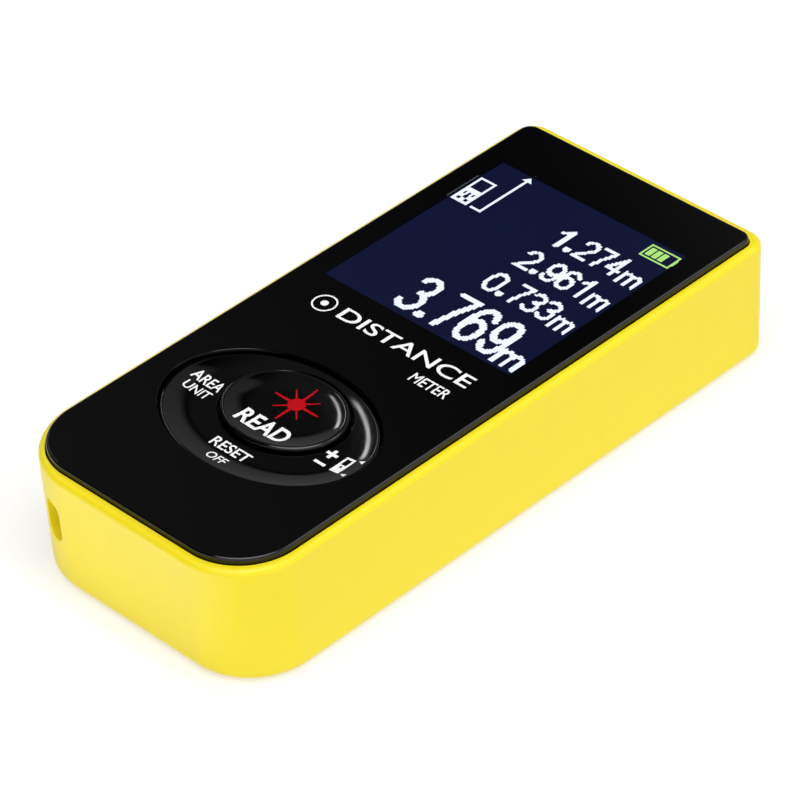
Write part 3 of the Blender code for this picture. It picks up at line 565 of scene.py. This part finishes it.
def recess_tools():
    """Cutters for the label, the optics bezel with its two beam holes, and the socket's cover."""
    room = 0.2
    label = rounded_rectangle(0, middle(LABEL, "y"), LABEL[1].x * 2 + 2 * room,
                              span(LABEL, "y") + 2 * room, LABEL_CORNER + room)
    recess = rounded_rectangle(0, middle(BEZEL, "z"), BEZEL[1].x * 2 + 2 * room,
                               span(BEZEL, "z") + 2 * room, BEZEL_CORNER + room)
    cover = rounded_rectangle(middle(COVER, "y"), middle(COVER, "z"), span(COVER, "y") + 2 * room,
                              span(COVER, "z") + 2 * room, COVER_CORNER + room)
    mouth = rounded_rectangle(SOCKET_Y, SOCKET_Z, 8.8, 3.6, 0.6)
    tools = [
        prism("label_room", label, -0.5, 0.5),
        loft("bezel_room", [end_level(recess, BEZEL[0].y - 0.15), end_level(recess, HALF_LENGTH + 1)]),
        loft("cover_room", [side_level(cover, -HALF_WIDTH - 1), side_level(cover, -HALF_WIDTH + 0.62)]),
        loft("plug_room", [side_level(mouth, -HALF_WIDTH - 1), side_level(mouth, -OPEN_HALF + 1)]),
    ]
    for name, (x, z, radius) in WINDOWS.items():
        ends = [(radius - 0.2, OPEN_HIGH - 1), (radius - 0.2, HALF_LENGTH + 0.5)]
        tools.append(turned(f"beam_{name}", ends, None, (x, z), "Y"))
    return tools


# ================================================================ front
def make_front(looks):
    """The black panel with its display opening and key hole, and the clear pane in the opening."""
    low = extent("front_mask")[0].z
    shoulder = FRONT_GAP + PANEL_DRAFT
    loops = [level(front_plan(FRONT_GAP), low)]
    for inset, drop in rounding(PANEL_EDGE, 8):
        loops.append(level(front_plan(shoulder + inset), PANEL_TOP - drop))
    panel = loft("front_panel", loops, looks["black_gloss"])

    hole = [level(ring_oval(PANEL_HOLE_GAP), low - 1), level(ring_oval(PANEL_HOLE_GAP), PANEL_TOP - 0.03),
            level(ring_oval(PANEL_HOLE_GAP + 0.03), PANEL_TOP),
            level(ring_oval(PANEL_HOLE_GAP + 0.03), TOP + 1)]
    opening = display_outline(0)
    cut(panel, loft("key_hole", hole), prism("display_hole", opening, low - 1, TOP + 1))
    show(panel, "case", "black_gloss", "front_lens", "front_mask")

    pane = prism("display_window", display_outline(0.005), WINDOW_LOW, PANEL_TOP, looks["clear_window"])
    show(pane, "case", "clear_window")


def ring_oval(grow):
    """The function ring's outline, grown by the same amount all round."""
    return oval(0, RING_CENTRE_Y, RING_HALF_X + grow, RING_HALF_Y + grow)


def display_outline(inset):
    width = 2 * (DISPLAY_HALF - inset)
    height = DISPLAY_HIGH - DISPLAY_LOW - 2 * inset
    return rounded_rectangle(0, (DISPLAY_LOW + DISPLAY_HIGH) / 2, width, height, 0.2, 4)


# ================================================================ keys
RING_INNER = (KEY_CENTRE_Y, KEY_HALF_X + RING_HOLE, KEY_HALF_Y + RING_HOLE)
RING_CREST_LINE = (RING_CENTRE_Y, RING_HALF_X - RING_EDGE, RING_HALF_Y - RING_EDGE)
RING_OUTER = (RING_CENTRE_Y, RING_HALF_X, RING_HALF_Y)
RING_REACH = RING_FLANGE - RING_FLANGE_TRIM
RING_SKIRT = (RING_CENTRE_Y, RING_HALF_X + RING_REACH, RING_HALF_Y + RING_REACH)


def between(inner, outer, share):
    """An oval part way from one to another, each (centre y, half x, half y)."""
    return [low + (high - low) * share for low, high in zip(inner, outer)]


def oval_level(shape, z):
    centre, half_x, half_y = shape
    return level(oval(0, centre, half_x, half_y), z)


def ring_height(x, y):
    """Height of the ring's dish at a place, by how far in it is from the crest line."""
    centre, half_x, half_y = RING_CREST_LINE
    along = hypot(x / half_x, (y - centre) / half_y)
    away = (1 - along) / along * hypot(x, y - centre)
    share = min(max(away / RING_DISH_REACH, 0), 1)
    return RING_CREST - RING_DISH * (1 - (1 - share) ** 1.7)


def dished(loop):
    return [(x, y, ring_height(x, y)) for x, y, _ in loop]


def make_function_ring(looks):
    """The dished oval ring, with a flange under the panel and three pegs over the domes."""
    steps = 26
    inner_round = 0.12
    loops = [oval_level(RING_SKIRT, RING_FLANGE_LOW), oval_level(RING_SKIRT, RING_FLANGE_HIGH),
             oval_level(RING_OUTER, RING_FLANGE_HIGH)]
    for inset, drop in rounding(RING_EDGE, 8):
        shape = (RING_CENTRE_Y, RING_HALF_X - inset, RING_HALF_Y - inset)
        loops.append(oval_level(shape, RING_CREST - drop * 0.8))
    for i in range(1, steps):
        loops.append(dished(oval_level(between(RING_INNER, RING_CREST_LINE, 1 - i / steps), 0)))
    for inset, drop in reversed(rounding(inner_round, 4)):
        centre, half_x, half_y = RING_INNER
        edge = dished(oval_level((centre, half_x + inset, half_y + inset), 0))
        loops.append([(x, y, z - drop) for x, y, z in edge])
    loops.append(oval_level(RING_INNER, RING_BACK))
    loops.append(oval_level(between(RING_INNER, RING_SKIRT, 0.8), RING_BACK))
    ring = loft("function_ring", loops, looks["black_key"], ring=True)
    pegs = []
    for dome in ("dome_left", "dome_right", "dome_clear"):
        corners = extent(dome)
        place = (middle(corners, "x"), middle(corners, "y"))
        profile = [(PEG_RADIUS, PEG_LOW), (PEG_RADIUS, RING_BACK + 0.3)]
        pegs.append(turned(f"peg_{dome}", profile, None, place, steps=32))
    add(ring, *pegs)
    show(ring, "function_ring", "black_gloss", "function_key_ring", sharp=40)


def key_top(share):
    """Height of the key's dish, from its flat middle (0) to its crest line (1)."""
    climb = min(max(share - KEY_FLAT, 0) / (1 - KEY_FLAT), 1)
    return KEY_CREST - KEY_DISH * (1 - climb ** 2)


def key_height(x, y):
    share = hypot(x / (KEY_HALF_X - KEY_EDGE), (y - KEY_CENTRE_Y) / (KEY_HALF_Y - KEY_EDGE))
    return key_top(share)


def make_measure_key(looks):
    """The oval centre key: a soft shoulder, a thin crest line and a shallow dish."""
    def plan(share):
        return [KEY_CENTRE_Y, KEY_HALF_X * share, KEY_HALF_Y * share]

    loops = [oval_level(plan(KEY_STEM), KEY[0].z), oval_level(plan(KEY_STEM), KEY_FLANGE_LOW),
             oval_level(plan(KEY_FLANGE), KEY_FLANGE_LOW), oval_level(plan(KEY_FLANGE), KEY_FLANGE_HIGH),
             oval_level(plan(1), KEY_FLANGE_HIGH)]
    for inset, drop in rounding(KEY_EDGE, 8):
        loops.append(oval_level((KEY_CENTRE_Y, KEY_HALF_X - inset, KEY_HALF_Y - inset), KEY_CREST - drop))
    crest = (KEY_CENTRE_Y, KEY_HALF_X - KEY_EDGE, KEY_HALF_Y - KEY_EDGE)
    centre = (KEY_CENTRE_Y, 0.0, 0.0)
    steps = 30
    for i in range(1, steps):
        share = 1 - i / steps
        loops.append(oval_level(between(centre, crest, share), key_top(share)))
    key = loft("measure_button", loops, looks["black_key"])
    show(key, "measure_button", "black_gloss", "measure_key", sharp=40)


# ================================================================ print
def panel_height(x, y):
    return PANEL_TOP


def flat_faces(outlines):
    """A flat mesh with one face for each outline."""
    bm = bmesh.new()
    for outline in outlines:
        bm.faces.new([bm.verts.new((x, y, 0)) for x, y in outline])
    return bm


def lettering(word, x, y, weight):
    """The flat faces of a word in the built-in typeface, made to fill a box."""
    curve = bpy.data.curves.new("word", "FONT")
    curve.body = word
    curve.offset = weight
    curve.fill_mode = "FRONT"
    obj = bpy.data.objects.new("word", curve)
    bpy.context.scene.collection.objects.link(obj)
    bpy.context.view_layer.update()
    mesh = bpy.data.meshes.new_from_object(obj.evaluated_get(bpy.context.evaluated_depsgraph_get()))
    bm = bmesh.new()
    bm.from_mesh(mesh)
    bmesh.ops.remove_doubles(bm, verts=bm.verts, dist=1e-5)
    bpy.data.objects.remove(obj)
    bpy.data.meshes.remove(mesh)
    xs, ys = [v.co.x for v in bm.verts], [v.co.y for v in bm.verts]
    for v in bm.verts:
        v.co.x = x[0] + (v.co.x - min(xs)) / (max(xs) - min(xs)) * (x[1] - x[0])
        v.co.y = y[0] + (v.co.y - min(ys)) / (max(ys) - min(ys)) * (y[1] - y[0])
    return bm


def cut_by_grid(bm, step=0.6):
    """Divide flat faces along a grid, so that they can follow a curved surface."""
    xs, ys = [v.co.x for v in bm.verts], [v.co.y for v in bm.verts]
    spans = (((1, 0, 0), min(xs), max(xs)), ((0, 1, 0), min(ys), max(ys)))
    for normal, low, high in spans:
        count = int((high - low) / step)
        for i in range(1, count + 1):
            place = [n * (low + i * step) for n in normal]
            everything = bm.verts[:] + bm.edges[:] + bm.faces[:]
            bmesh.ops.bisect_plane(bm, geom=everything, plane_co=place, plane_no=normal)
    bmesh.ops.triangulate(bm, faces=bm.faces)


def printed(name, flat, height, mat, body, thick=PRINT, curved=True):
    """A thin closed layer with the flat mesh's outline, laid on a surface."""
    if curved:
        cut_by_grid(flat)
    solid = bmesh.new()
    under, over = {}, {}
    for v in flat.verts:
        z = height(v.co.x, v.co.y)
        under[v] = solid.verts.new(Vector((v.co.x, v.co.y, z - 0.01)) * MM)
        over[v] = solid.verts.new(Vector((v.co.x, v.co.y, z + thick)) * MM)
    for face in flat.faces:
        solid.faces.new([over[v] for v in face.verts])
        solid.faces.new([under[v] for v in reversed(face.verts)])
    for edge in flat.edges:
        if len(edge.link_faces) == 1:
            a, b = edge.verts
            solid.faces.new((under[a], under[b], over[b], over[a]))
    flat.free()
    obj = link(name, solid, mat)
    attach(obj, body)
    return obj


def target_sign(centre):
    """A plain target: a thin circle round a dot."""
    steps = 64
    bm = flat_faces([oval(*centre, 0.5, 0.5, 32)])
    rows = []
    for radius in (1.38, 1.6):
        rows.append([bm.verts.new((x, y, 0)) for x, y in oval(*centre, radius, radius, steps)])
    inner, outer = rows
    for i in range(steps):
        j = (i + 1) % steps
        bm.faces.new((inner[i], outer[i], outer[j], inner[j]))
    return bm


def bar(x, y):
    return [(x[0], y[0]), (x[1], y[0]), (x[1], y[1]), (x[0], y[1])]


def hollow(x, y, thick):
    """The four bars of a rectangle's outline."""
    return [bar(x, (y[0], y[0] + thick)), bar(x, (y[1] - thick, y[1])),
            bar((x[0], x[0] + thick), (y[0] + thick, y[1] - thick)),
            bar((x[1] - thick, x[1]), (y[0] + thick, y[1] - thick))]


def ray(centre, angle, inner, outer, thick):
    """A thin bar pointing away from a centre, tapered to its tip."""
    along = Vector((cos(radians(angle)), sin(radians(angle))))
    across = Vector((-along.y, along.x)) * thick / 2
    near, far = Vector(centre) + along * inner, Vector(centre) + along * outer
    tip = across * 0.55
    return [tuple(near - across), tuple(far - tip), tuple(far + tip), tuple(near + across)]


WORDS = (
    ("word_area", "AREA", (-13.0, -8.5), (-20.5, -18.85), 0.011, "ring"),
    ("word_unit", "UNIT", (-12.5, -8.6), (-22.4, -21.0), 0.007, "ring"),
    ("word_reset", "RESET", (-2.7, 3.05), (-27.5, -25.9), 0.011, "ring"),
    ("word_off", "OFF", (-1.17, 1.6), (-29.6, -28.3), 0.008, "ring"),
    ("word_read", "READ", (-3.7, 3.85), (-22.75, -20.15), 0.022, "key"),
    ("word_name", "DISTANCE", (-7.7, 13.0), (-2.2, 0.06), 0.008, "panel"),
    ("word_kind", "METER", (6.9, 12.6), (-5.25, -3.6), 0.008, "panel"),
)


def make_print(looks):
    """The white words and signs on the front and the keys, and the red burst on the key."""
    surfaces = {
        "ring": (ring_height, "function_ring"),
        "key": (key_height, "measure_button"),
        "panel": (panel_height, "case"),
    }
    white = looks["white_ink"]
    for name, word, x, y, weight, surface in WORDS:
        height, body = surfaces[surface]
        printed(name, lettering(word, x, y, weight), height, white, body, curved=surface != "panel")

    signs = [bar((8.48, 10.12), (-19.97, -19.52)), bar((9.07, 9.52), (-20.54, -19.97)),
             bar((9.07, 9.52), (-19.52, -18.95)), bar((8.48, 10.12), (-21.97, -21.55))]
    signs += hollow((10.97, 12.36), (-21.97, -18.97), 0.3)
    signs += [bar((11.27, 12.06), (-20.62, -20.42)), bar((11.27, 11.5), (-21.67, -20.62)),
              bar((11.83, 12.06), (-21.67, -20.62)), bar((11.5, 11.83), (-21.67, -21.0))]
    signs += [[(12.72, -18.92), (13.42, -19.25), (13.42, -18.6)],
              [(12.72, -21.9), (13.45, -22.25), (13.42, -21.6)]]
    printed("signs_plus_minus", flat_faces(signs), ring_height, white, "function_ring")

    target = (-10.45, -1.15)
    printed("sign_target", target_sign(target), panel_height, white, "case", curved=False)

    centre = (0.04, -16.2)
    burst = [oval(*centre, 1.1, 1.1, 40)]
    for angle in range(0, 360, 45):
        straight = angle % 90 == 0
        reach = 3.4 if straight else 2.75
        burst.append(ray(centre, angle, 1.05, reach, 0.42 if straight else 0.26))
    printed("red_burst", flat_faces(burst), key_height, looks["red_ink"], "measure_button")


# ================================================================ display picture
def bow(cx, cy, rx, ry, start, stop, steps=14):
    """Part of an oval in a glyph's unit box, angles in degrees."""
    angles = [radians(start + (stop - start) * i / steps) for i in range(steps + 1)]
    return [(cx + rx * cos(a), cy + ry * sin(a)) for a in angles]


GLYPHS = {
    "0": [bow(0.5, 0.68, 0.5, 0.32, 0, 180) + bow(0.5, 0.32, 0.5, 0.32, 180, 360) + [(1, 0.68)]],
    "1": [[(0, 0.74), (0.45, 0.84), (0.85, 1), (0.85, 0)]],
    "2": [bow(0.5, 0.72, 0.5, 0.28, 165, -35) + [(0, 0), (1, 0)]],
    "3": [bow(0.47, 0.76, 0.47, 0.24, 155, -90) + bow(0.5, 0.27, 0.5, 0.27, 90, -155)],
    "4": [[(0.74, 0), (0.74, 1), (0, 0.3), (1, 0.3)]],
    "6": [bow(0.5, 0.31, 0.5, 0.31, 0, 360), [(0, 0.31), (0, 0.66)] + bow(0.5, 0.68, 0.5, 0.32, 180, 20)],
    "7": [[(0, 1), (1, 1), (0.62, 0.5), (0.4, 0)]],
    "9": [bow(0.5, 0.69, 0.5, 0.31, 0, 360), [(1, 0.69), (1, 0.34)] + bow(0.5, 0.32, 0.5, 0.32, 0, -160)],
    "m": [[(0, 0), (0, 1)], bow(0.25, 0.72, 0.25, 0.28, 180, 0) + [(0.5, 0)],
          bow(0.75, 0.72, 0.25, 0.28, 180, 0) + [(1, 0)]],
}

SMALL = 0.5
BIG = 0.8
READINGS = (
    (SMALL, (25.28, 29.28), (("1", 0.28, 1.94), ("2", 3.89, 6.11), ("7", 6.28, 8.56), ("4", 8.61, 10.86))),
    (SMALL, (19.36, 23.39), (("2", 0.08, 2.39), ("9", 3.89, 6.11), ("6", 6.19, 8.5), ("1", 8.83, 10.5))),
    (SMALL, (13.53, 17.5), (("0", 0.08, 2.36), ("7", 3.89, 6.11), ("3", 6.28, 8.5), ("3", 8.61, 10.86))),
    (BIG, (4.36, 11.5), (("3", -5.61, -2.08), ("7", -0.14, 3.28), ("6", 3.61, 7.03), ("9", 7.39, 10.78))),
)
UNITS = (
    (0.46, (11.19, 14.17), (24.78, 27.33)),
    (0.46, (11.19, 14.17), (18.94, 21.5)),
    (0.46, (11.19, 14.17), (13.1, 15.6)),
    (0.62, (10.86, 14.53), (3.94, 6.94)),
)
POINTS = ((3.03, 25.83, 0.5), (3.03, 19.97, 0.5), (3.03, 14.1, 0.5), (-1.17, 5.0, 0.64))


def distance_to_line(x, y, line):
    """How far a place is from the nearest part of a line of points."""
    best = None
    for (ax, ay), (bx, by) in zip(line, line[1:]):
        run_x, run_y = bx - ax, by - ay
        length = run_x ** 2 + run_y ** 2 or 1.0
        share = min(max(((x - ax) * run_x + (y - ay) * run_y) / length, 0), 1)
        away = hypot(x - ax - run_x * share, y - ay - run_y * share)
        best = away if best is None else min(best, away)
    return best


def cells_in(x, y, inside):
    """Rows of lit display cells in a box, each run of them as one bar."""
    first_column = int((x[0] + DISPLAY_HALF) / PITCH) - 1
    last_column = int((x[1] + DISPLAY_HALF) / PITCH) + 1
    first_row = int((y[0] - DISPLAY_LOW) / PITCH) - 1
    last_row = int((y[1] - DISPLAY_LOW) / PITCH) + 1
    runs = []
    for row in range(first_row, last_row + 1):
        low = DISPLAY_LOW + row * PITCH
        start = None
        for column in range(first_column, last_column + 2):
            left = -DISPLAY_HALF + column * PITCH
            lit = column <= last_column and inside(left + PITCH / 2, low + PITCH / 2)
            if lit and start is None:
                start = left
            if not lit and start is not None:
                runs.append(bar((start, left), (low, low + PITCH)))
                start = None
    return runs


def glyph_cells(glyph, x, y, stroke):
    half = stroke / 2
    width, height = x[1] - x[0] - stroke, y[1] - y[0] - stroke
    lines = [[(x[0] + half + u * width, y[0] + half + v * height) for u, v in line] for line in GLYPHS[glyph]]
    return cells_in(x, y, lambda px, py: min(distance_to_line(px, py, line) for line in lines) <= half)


def display_height(x, y):
    return DISPLAY_FACE


def make_display(looks):
    """The display's navy face, and its lit cells just above it."""
    face = prism("display_face", display_outline(0.02), PANEL[0].z, DISPLAY_FACE, looks["display_glass"])
    show(face, "case", "display_glass", "display_panel")

    cells = []
    for stroke, y, digits in READINGS:
        for glyph, low, high in digits:
            cells += glyph_cells(glyph, (low, high), y, stroke)
    for stroke, x, y in UNITS:
        cells += glyph_cells("m", x, y, stroke)
    for cx, cy, radius in POINTS:
        cells += cells_in((cx - radius, cx + radius), (cy - radius, cy + radius),
                          lambda px, py: hypot(px - cx, py - cy) <= radius)
    cells += device_icon()
    printed("display_digits", flat_faces(cells), display_height, looks["display_white"], "case",
            PIXEL_FACE - DISPLAY_FACE, curved=False)

    battery = hollow((9.95, 14.45), (30.83, 33.44), 0.22) + [bar((14.45, 14.9), (31.5, 32.75))]
    for low, high in ((10.45, 11.17), (11.4, 12.1), (12.33, 13.05)):
        battery.append(bar((low, high), (31.36, 32.9)))
    printed("display_battery", flat_faces(battery), display_height, looks["display_green"], "case",
            PIXEL_FACE - DISPLAY_FACE, curved=False)


def device_icon():
    """A small meter with a beam from its end, in the display's upper left."""
    left, right = -14.78, -12.22
    parts = hollow((left, right), (27.35, 30.1), 0.3)
    parts += [bar((left, right), (24.56, 25.0)), bar((left, right), (26.85, 27.35))]
    for low, high in ((left, -14.3), (-14.0, -13.7), (-13.3, -13.0), (-12.7, right)):
        parts.append(bar((low, high), (26.2, 26.85)))
    parts.append(bar((left, -13.8), (25.55, 26.2)))
    parts.append(bar((-13.2, right), (25.55, 26.2)))
    for low, high in ((left, -14.35), (-13.8, -13.2), (-12.65, right)):
        parts.append(bar((low, high), (25.0, 25.55)))
    parts.append(bar((-11.64, -9.9), (24.58, 24.92)))
    parts.append(bar((-10.23, -9.9), (24.92, 33.1)))
    parts.append([(-10.75, 33.0), (-9.3, 33.0), (-10.05, 33.85)])
    return parts


# ================================================================ laser end, side and back
def make_windows(looks):
    """The black bezel in the laser end, with softened edges, and its two clear windows."""
    wide, tall, axis_z = BEZEL[1].x * 2, span(BEZEL, "z"), middle(BEZEL, "z")
    low, high = BEZEL[0].y, BEZEL[1].y
    edge = 0.15
    loops = [end_level(rounded_rectangle(0, axis_z, wide, tall, BEZEL_CORNER), low)]
    for inset, drop in rounding(edge, 4):
        outline = rounded_rectangle(0, axis_z, wide - 2 * inset, tall - 2 * inset, BEZEL_CORNER - inset)
        loops.append(end_level(outline, high - drop))
    bezel = loft("window_bezel", loops, looks["black_gloss"])
    holes = []
    for name, (x, z, radius) in WINDOWS.items():
        wall = radius + 0.12
        profile = [(wall, low - 1), (wall, high - 0.12), (wall + 0.12, high), (wall + 0.12, high + 1)]
        holes.append(turned(f"hole_{name}", profile, None, (x, z), "Y", 96))
    cut(bezel, *holes)
    show(bezel, "case", "black_gloss", "optics_bezel")
    for name, (x, z, radius) in WINDOWS.items():
        low_y, high_y = extent(name)[0].y, extent(name)[1].y
        profile = [(radius, low_y), (radius, high_y - 0.05), (radius - 0.05, high_y)]
        pane = turned(f"clear_{name}", profile, looks["optical_glass"], (x, z), "Y", 96)
        show(pane, "case", "optical_glass", name)


def make_lenses(looks):
    """The crowned lenses behind the windows."""
    for node, name, bulge in (("receiver_lens", "large_lens", 1.2), ("collimator_lens", "beam_lens", 0.7)):
        low, high = extent(node)
        x, z, radius = window_place(node)
        shares = [i / 12 for i in range(13)]
        back = [(radius * max(s, 0.02), low.y + bulge * s * s) for s in shares]
        front = [(radius * max(s, 0.02), high.y - bulge * s * s) for s in reversed(shares)]
        lens = turned(name, back + front, looks["optical_glass"], (x, z), "Y", 96)
        show(lens, "case", "optical_glass", node)


def make_cover(looks):
    """The rubber flap over the charging socket, with a finger notch at its free end."""
    centre_y, centre_z = middle(COVER, "y"), middle(COVER, "z")
    length, height = span(COVER, "y"), span(COVER, "z")
    inner = -HALF_WIDTH + 0.5
    loops = []
    for inset, drop in reversed(rounding(0.2, 5)):
        corner = COVER_CORNER - inset
        outline = rounded_rectangle(centre_y, centre_z, length - 2 * inset, height - 2 * inset, corner)
        loops.append(side_level(outline, -HALF_WIDTH + drop))
    loops.append(side_level(rounded_rectangle(centre_y, centre_z, length, height, COVER_CORNER), inner))
    cover = loft("socket_flap", loops, looks["yellow_rubber"])
    plug = rounded_rectangle(SOCKET_Y, centre_z, 7.8, 2.6, 0.5)
    add(cover, loft("plug", [side_level(plug, inner - 0.2), side_level(plug, COVER[1].x)]))
    notch = rounded_rectangle(COVER[0].y + 1.5, centre_z, 0.8, 2.8, 0.38)
    cut(cover, loft("notch", [side_level(notch, -HALF_WIDTH - 1), side_level(notch, -HALF_WIDTH + 0.2)]))
    show(cover, "socket_cover", "yellow_rubber", "charging_cover")


def make_label(looks):
    """The blank plate in the back, with two plain frames cut in as shallow grooves."""
    centre_y, wide, tall = middle(LABEL, "y"), LABEL[1].x * 2, span(LABEL, "y")
    low, high = LABEL[0].z, LABEL[1].z
    loops = []
    for inset, drop in reversed(rounding(0.1, 3)):
        outline = rounded_rectangle(0, centre_y, wide - 2 * inset, tall - 2 * inset, LABEL_CORNER)
        loops.append(level(outline, low + drop))
    loops.append(level(rounded_rectangle(0, centre_y, wide, tall, LABEL_CORNER), high))
    plate = loft("back_plate", loops, looks["label_film"])
    for inset in (1.2, 2.4):
        outer = rounded_rectangle(0, centre_y, wide - 2 * inset, tall - 2 * inset, 1.2)
        inner = rounded_rectangle(0, centre_y, wide - 2 * inset - 0.5, tall - 2 * inset - 0.5, 0.95)
        rows = [level(outer, low - 1), level(outer, low + 0.06),
                level(inner, low + 0.06), level(inner, low - 1)]
        cut(plate, loft("groove", rows, ring=True))
    show(plate, "case", "label_film", "rear_label")


def make_screws(looks):
    """Machine screws with domed heads and a cross recess."""
    for i, (x, y) in enumerate(SCREW_PLACES, 1):
        low, high = CASE_SCREWS[i - 1]
        face = low.z
        profile = [(0.3, face), (1.15, face + 0.04), (1.45, face + 0.12), (1.62, face + 0.26),
                   (1.7, face + 0.45), (1.7, 1.1), (0.8, 1.1), (0.8, high.z - 0.5), (0.4, high.z)]
        screw = turned(f"screw_{i}", profile, looks["steel"], (x, y), steps=48)
        for half_x, half_y in ((0.95, 0.2), (0.2, 0.95)):
            outline = rounded_rectangle(x, y, 2 * half_x, 2 * half_y, 0.08, 3)
            inner = rounded_rectangle(x, y, half_x, half_y, 0.04, 3)
            cut(screw, loft("cross", [level(outline, -0.5), level(outline, face + 0.1),
                                      level(inner, face + 0.55)]))
        show(screw, "case", "steel", f"case_screw_{i}")


def dress_cad_nodes(looks):
    """Give every CAD node the finish of its own material slot."""
    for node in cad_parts.values():
        for slot in node.material_slots:
            slot.material = looks[slot.material.name.split(".")[0]]


# ================================================================ stage
def direction(azimuth, elevation):
    """A unit vector: azimuth in degrees from +X towards +Y."""
    a, e = radians(azimuth), radians(elevation)
    return (cos(e) * cos(a), cos(e) * sin(a), sin(e))


ROOM_LIGHT = 0.76
PATCHES = (
    # azimuth, elevation, full within, gone beyond (degrees), brightness
    (105, 5, 50, 72, 0.30),
    (199, 41.6, 50, 58, 0.002),
    (175, 45, 18, 36, 0.12),
    (135, 0, 24, 29, 0.30),
    (118, 53, 5, 10, 0.30),
    (55, 46, 8, 16, 2.5),
    (316, 75, 24, 29, 3.8),
)
# A narrow bright strip, which the ring and the key mirror as crescents.
STRIP_STEPS = 20
STRIP = tuple((150 + 12 * i / STRIP_STEPS, 24 + 21 * i / STRIP_STEPS, 0.2, 1.5, 7.0)
              for i in range(STRIP_STEPS + 1))
FLOOR_GLOW = 0.49


def make_room():
    """Soft studio light from the world: a bright room with dark parts, a high softbox and a strip."""
    world = bpy.data.worlds.new("room")
    bpy.context.scene.world = world
    world.use_nodes = True
    tree = world.node_tree
    nodes, wire = tree.nodes, tree.links.new
    place = nodes.new("ShaderNodeTexCoord")
    brightness = None
    for azimuth, elevation, inner, outer, value in PATCHES + STRIP:
        towards = nodes.new("ShaderNodeVectorMath")
        towards.operation = "DOT_PRODUCT"
        towards.inputs[1].default_value = direction(azimuth, elevation)
        wire(place.outputs["Generated"], towards.inputs[0])
        edge = nodes.new("ShaderNodeMapRange")
        edge.interpolation_type = "SMOOTHSTEP"
        edge.inputs["From Min"].default_value = cos(radians(outer))
        edge.inputs["From Max"].default_value = cos(radians(inner))
        wire(towards.outputs["Value"], edge.inputs["Value"])
        mix = nodes.new("ShaderNodeMix")
        wire(edge.outputs["Result"], mix.inputs["Factor"])
        mix.inputs["A"].default_value = ROOM_LIGHT
        if brightness:
            wire(brightness, mix.inputs["A"])
        mix.inputs["B"].default_value = value
        brightness = mix.outputs["Result"]
    light = nodes["Background"]
    wire(brightness, light.inputs["Strength"])
    light.inputs["Color"].default_value = (1, 1, 1, 1)
    seen = nodes.new("ShaderNodeBackground")
    seen.inputs["Strength"].default_value = 1.0
    seen.inputs["Color"].default_value = (0.95, 0.95, 0.95, 1)
    rays = nodes.new("ShaderNodeLightPath")
    both = nodes.new("ShaderNodeMixShader")
    wire(rays.outputs["Is Camera Ray"], both.inputs["Fac"])
    wire(light.outputs["Background"], both.inputs[1])
    wire(seen.outputs["Background"], both.inputs[2])
    wire(both.outputs["Shader"], nodes["World Output"].inputs["Surface"])


def make_floor():
    """A large white floor, just under the resting face."""
    reach, drop = 3000.0, 0.05
    corners = [(-reach, -reach), (reach, -reach), (reach, reach), (-reach, reach)]
    bm = bmesh.new()
    bm.faces.new([bm.verts.new(Vector((x, y, -drop)) * MM) for x, y in corners])
    white = finish("floor", (0.5, 0.5, 0.5), 0.985, 60.0, (0.75, 0.85), 1.0, 0.005, 0.1,
                   Emission_Color=(1.0, 0.99, 1.0, 1.0), Emission_Strength=FLOOR_GLOW)
    floor = link("floor", bm, white)


def make_end_light():
    """A narrow soft light on the table in front of the low end, which the end face mirrors."""
    data = bpy.data.lights.new("table_light", "AREA")
    data.shape = "RECTANGLE"
    data.size, data.size_y = 60 * MM, 14 * MM
    data.spread = radians(14)
    data.energy = 0.007
    light = bpy.data.objects.new("table_light", data)
    light.location = Vector((-10, -60, 90)) * MM
    light.visible_camera = False
    bpy.context.scene.collection.objects.link(light)


def make_camera():
    data = bpy.data.cameras.new("camera")
    data.lens = CAMERA_LENS
    data.sensor_width = 36
    data.clip_start = 0.01
    data.clip_end = 20
    camera = bpy.data.objects.new("camera", data)
    right, up = Vector(CAMERA_RIGHT).normalized(), Vector(CAMERA_UP)
    back = right.cross(up).normalized()
    up = back.cross(right)
    turn = Matrix((right, up, back)).transposed().to_4x4()
    camera.matrix_world = Matrix.Translation(Vector(CAMERA_PLACE) * MM) @ turn
    bpy.context.scene.collection.objects.link(camera)
    bpy.context.scene.camera = camera


def main():
    bpy.context.scene.view_settings.view_transform = "Standard"
    looks = make_finishes()
    dress_cad_nodes(looks)
    make_shell(looks)
    make_front(looks)
    make_function_ring(looks)
    make_measure_key(looks)
    make_print(looks)
    make_display(looks)
    make_windows(looks)
    make_lenses(looks)
    make_cover(looks)
    make_label(looks)
    make_screws(looks)
    make_room()
    make_floor()
    make_end_light()
    make_camera()


main()
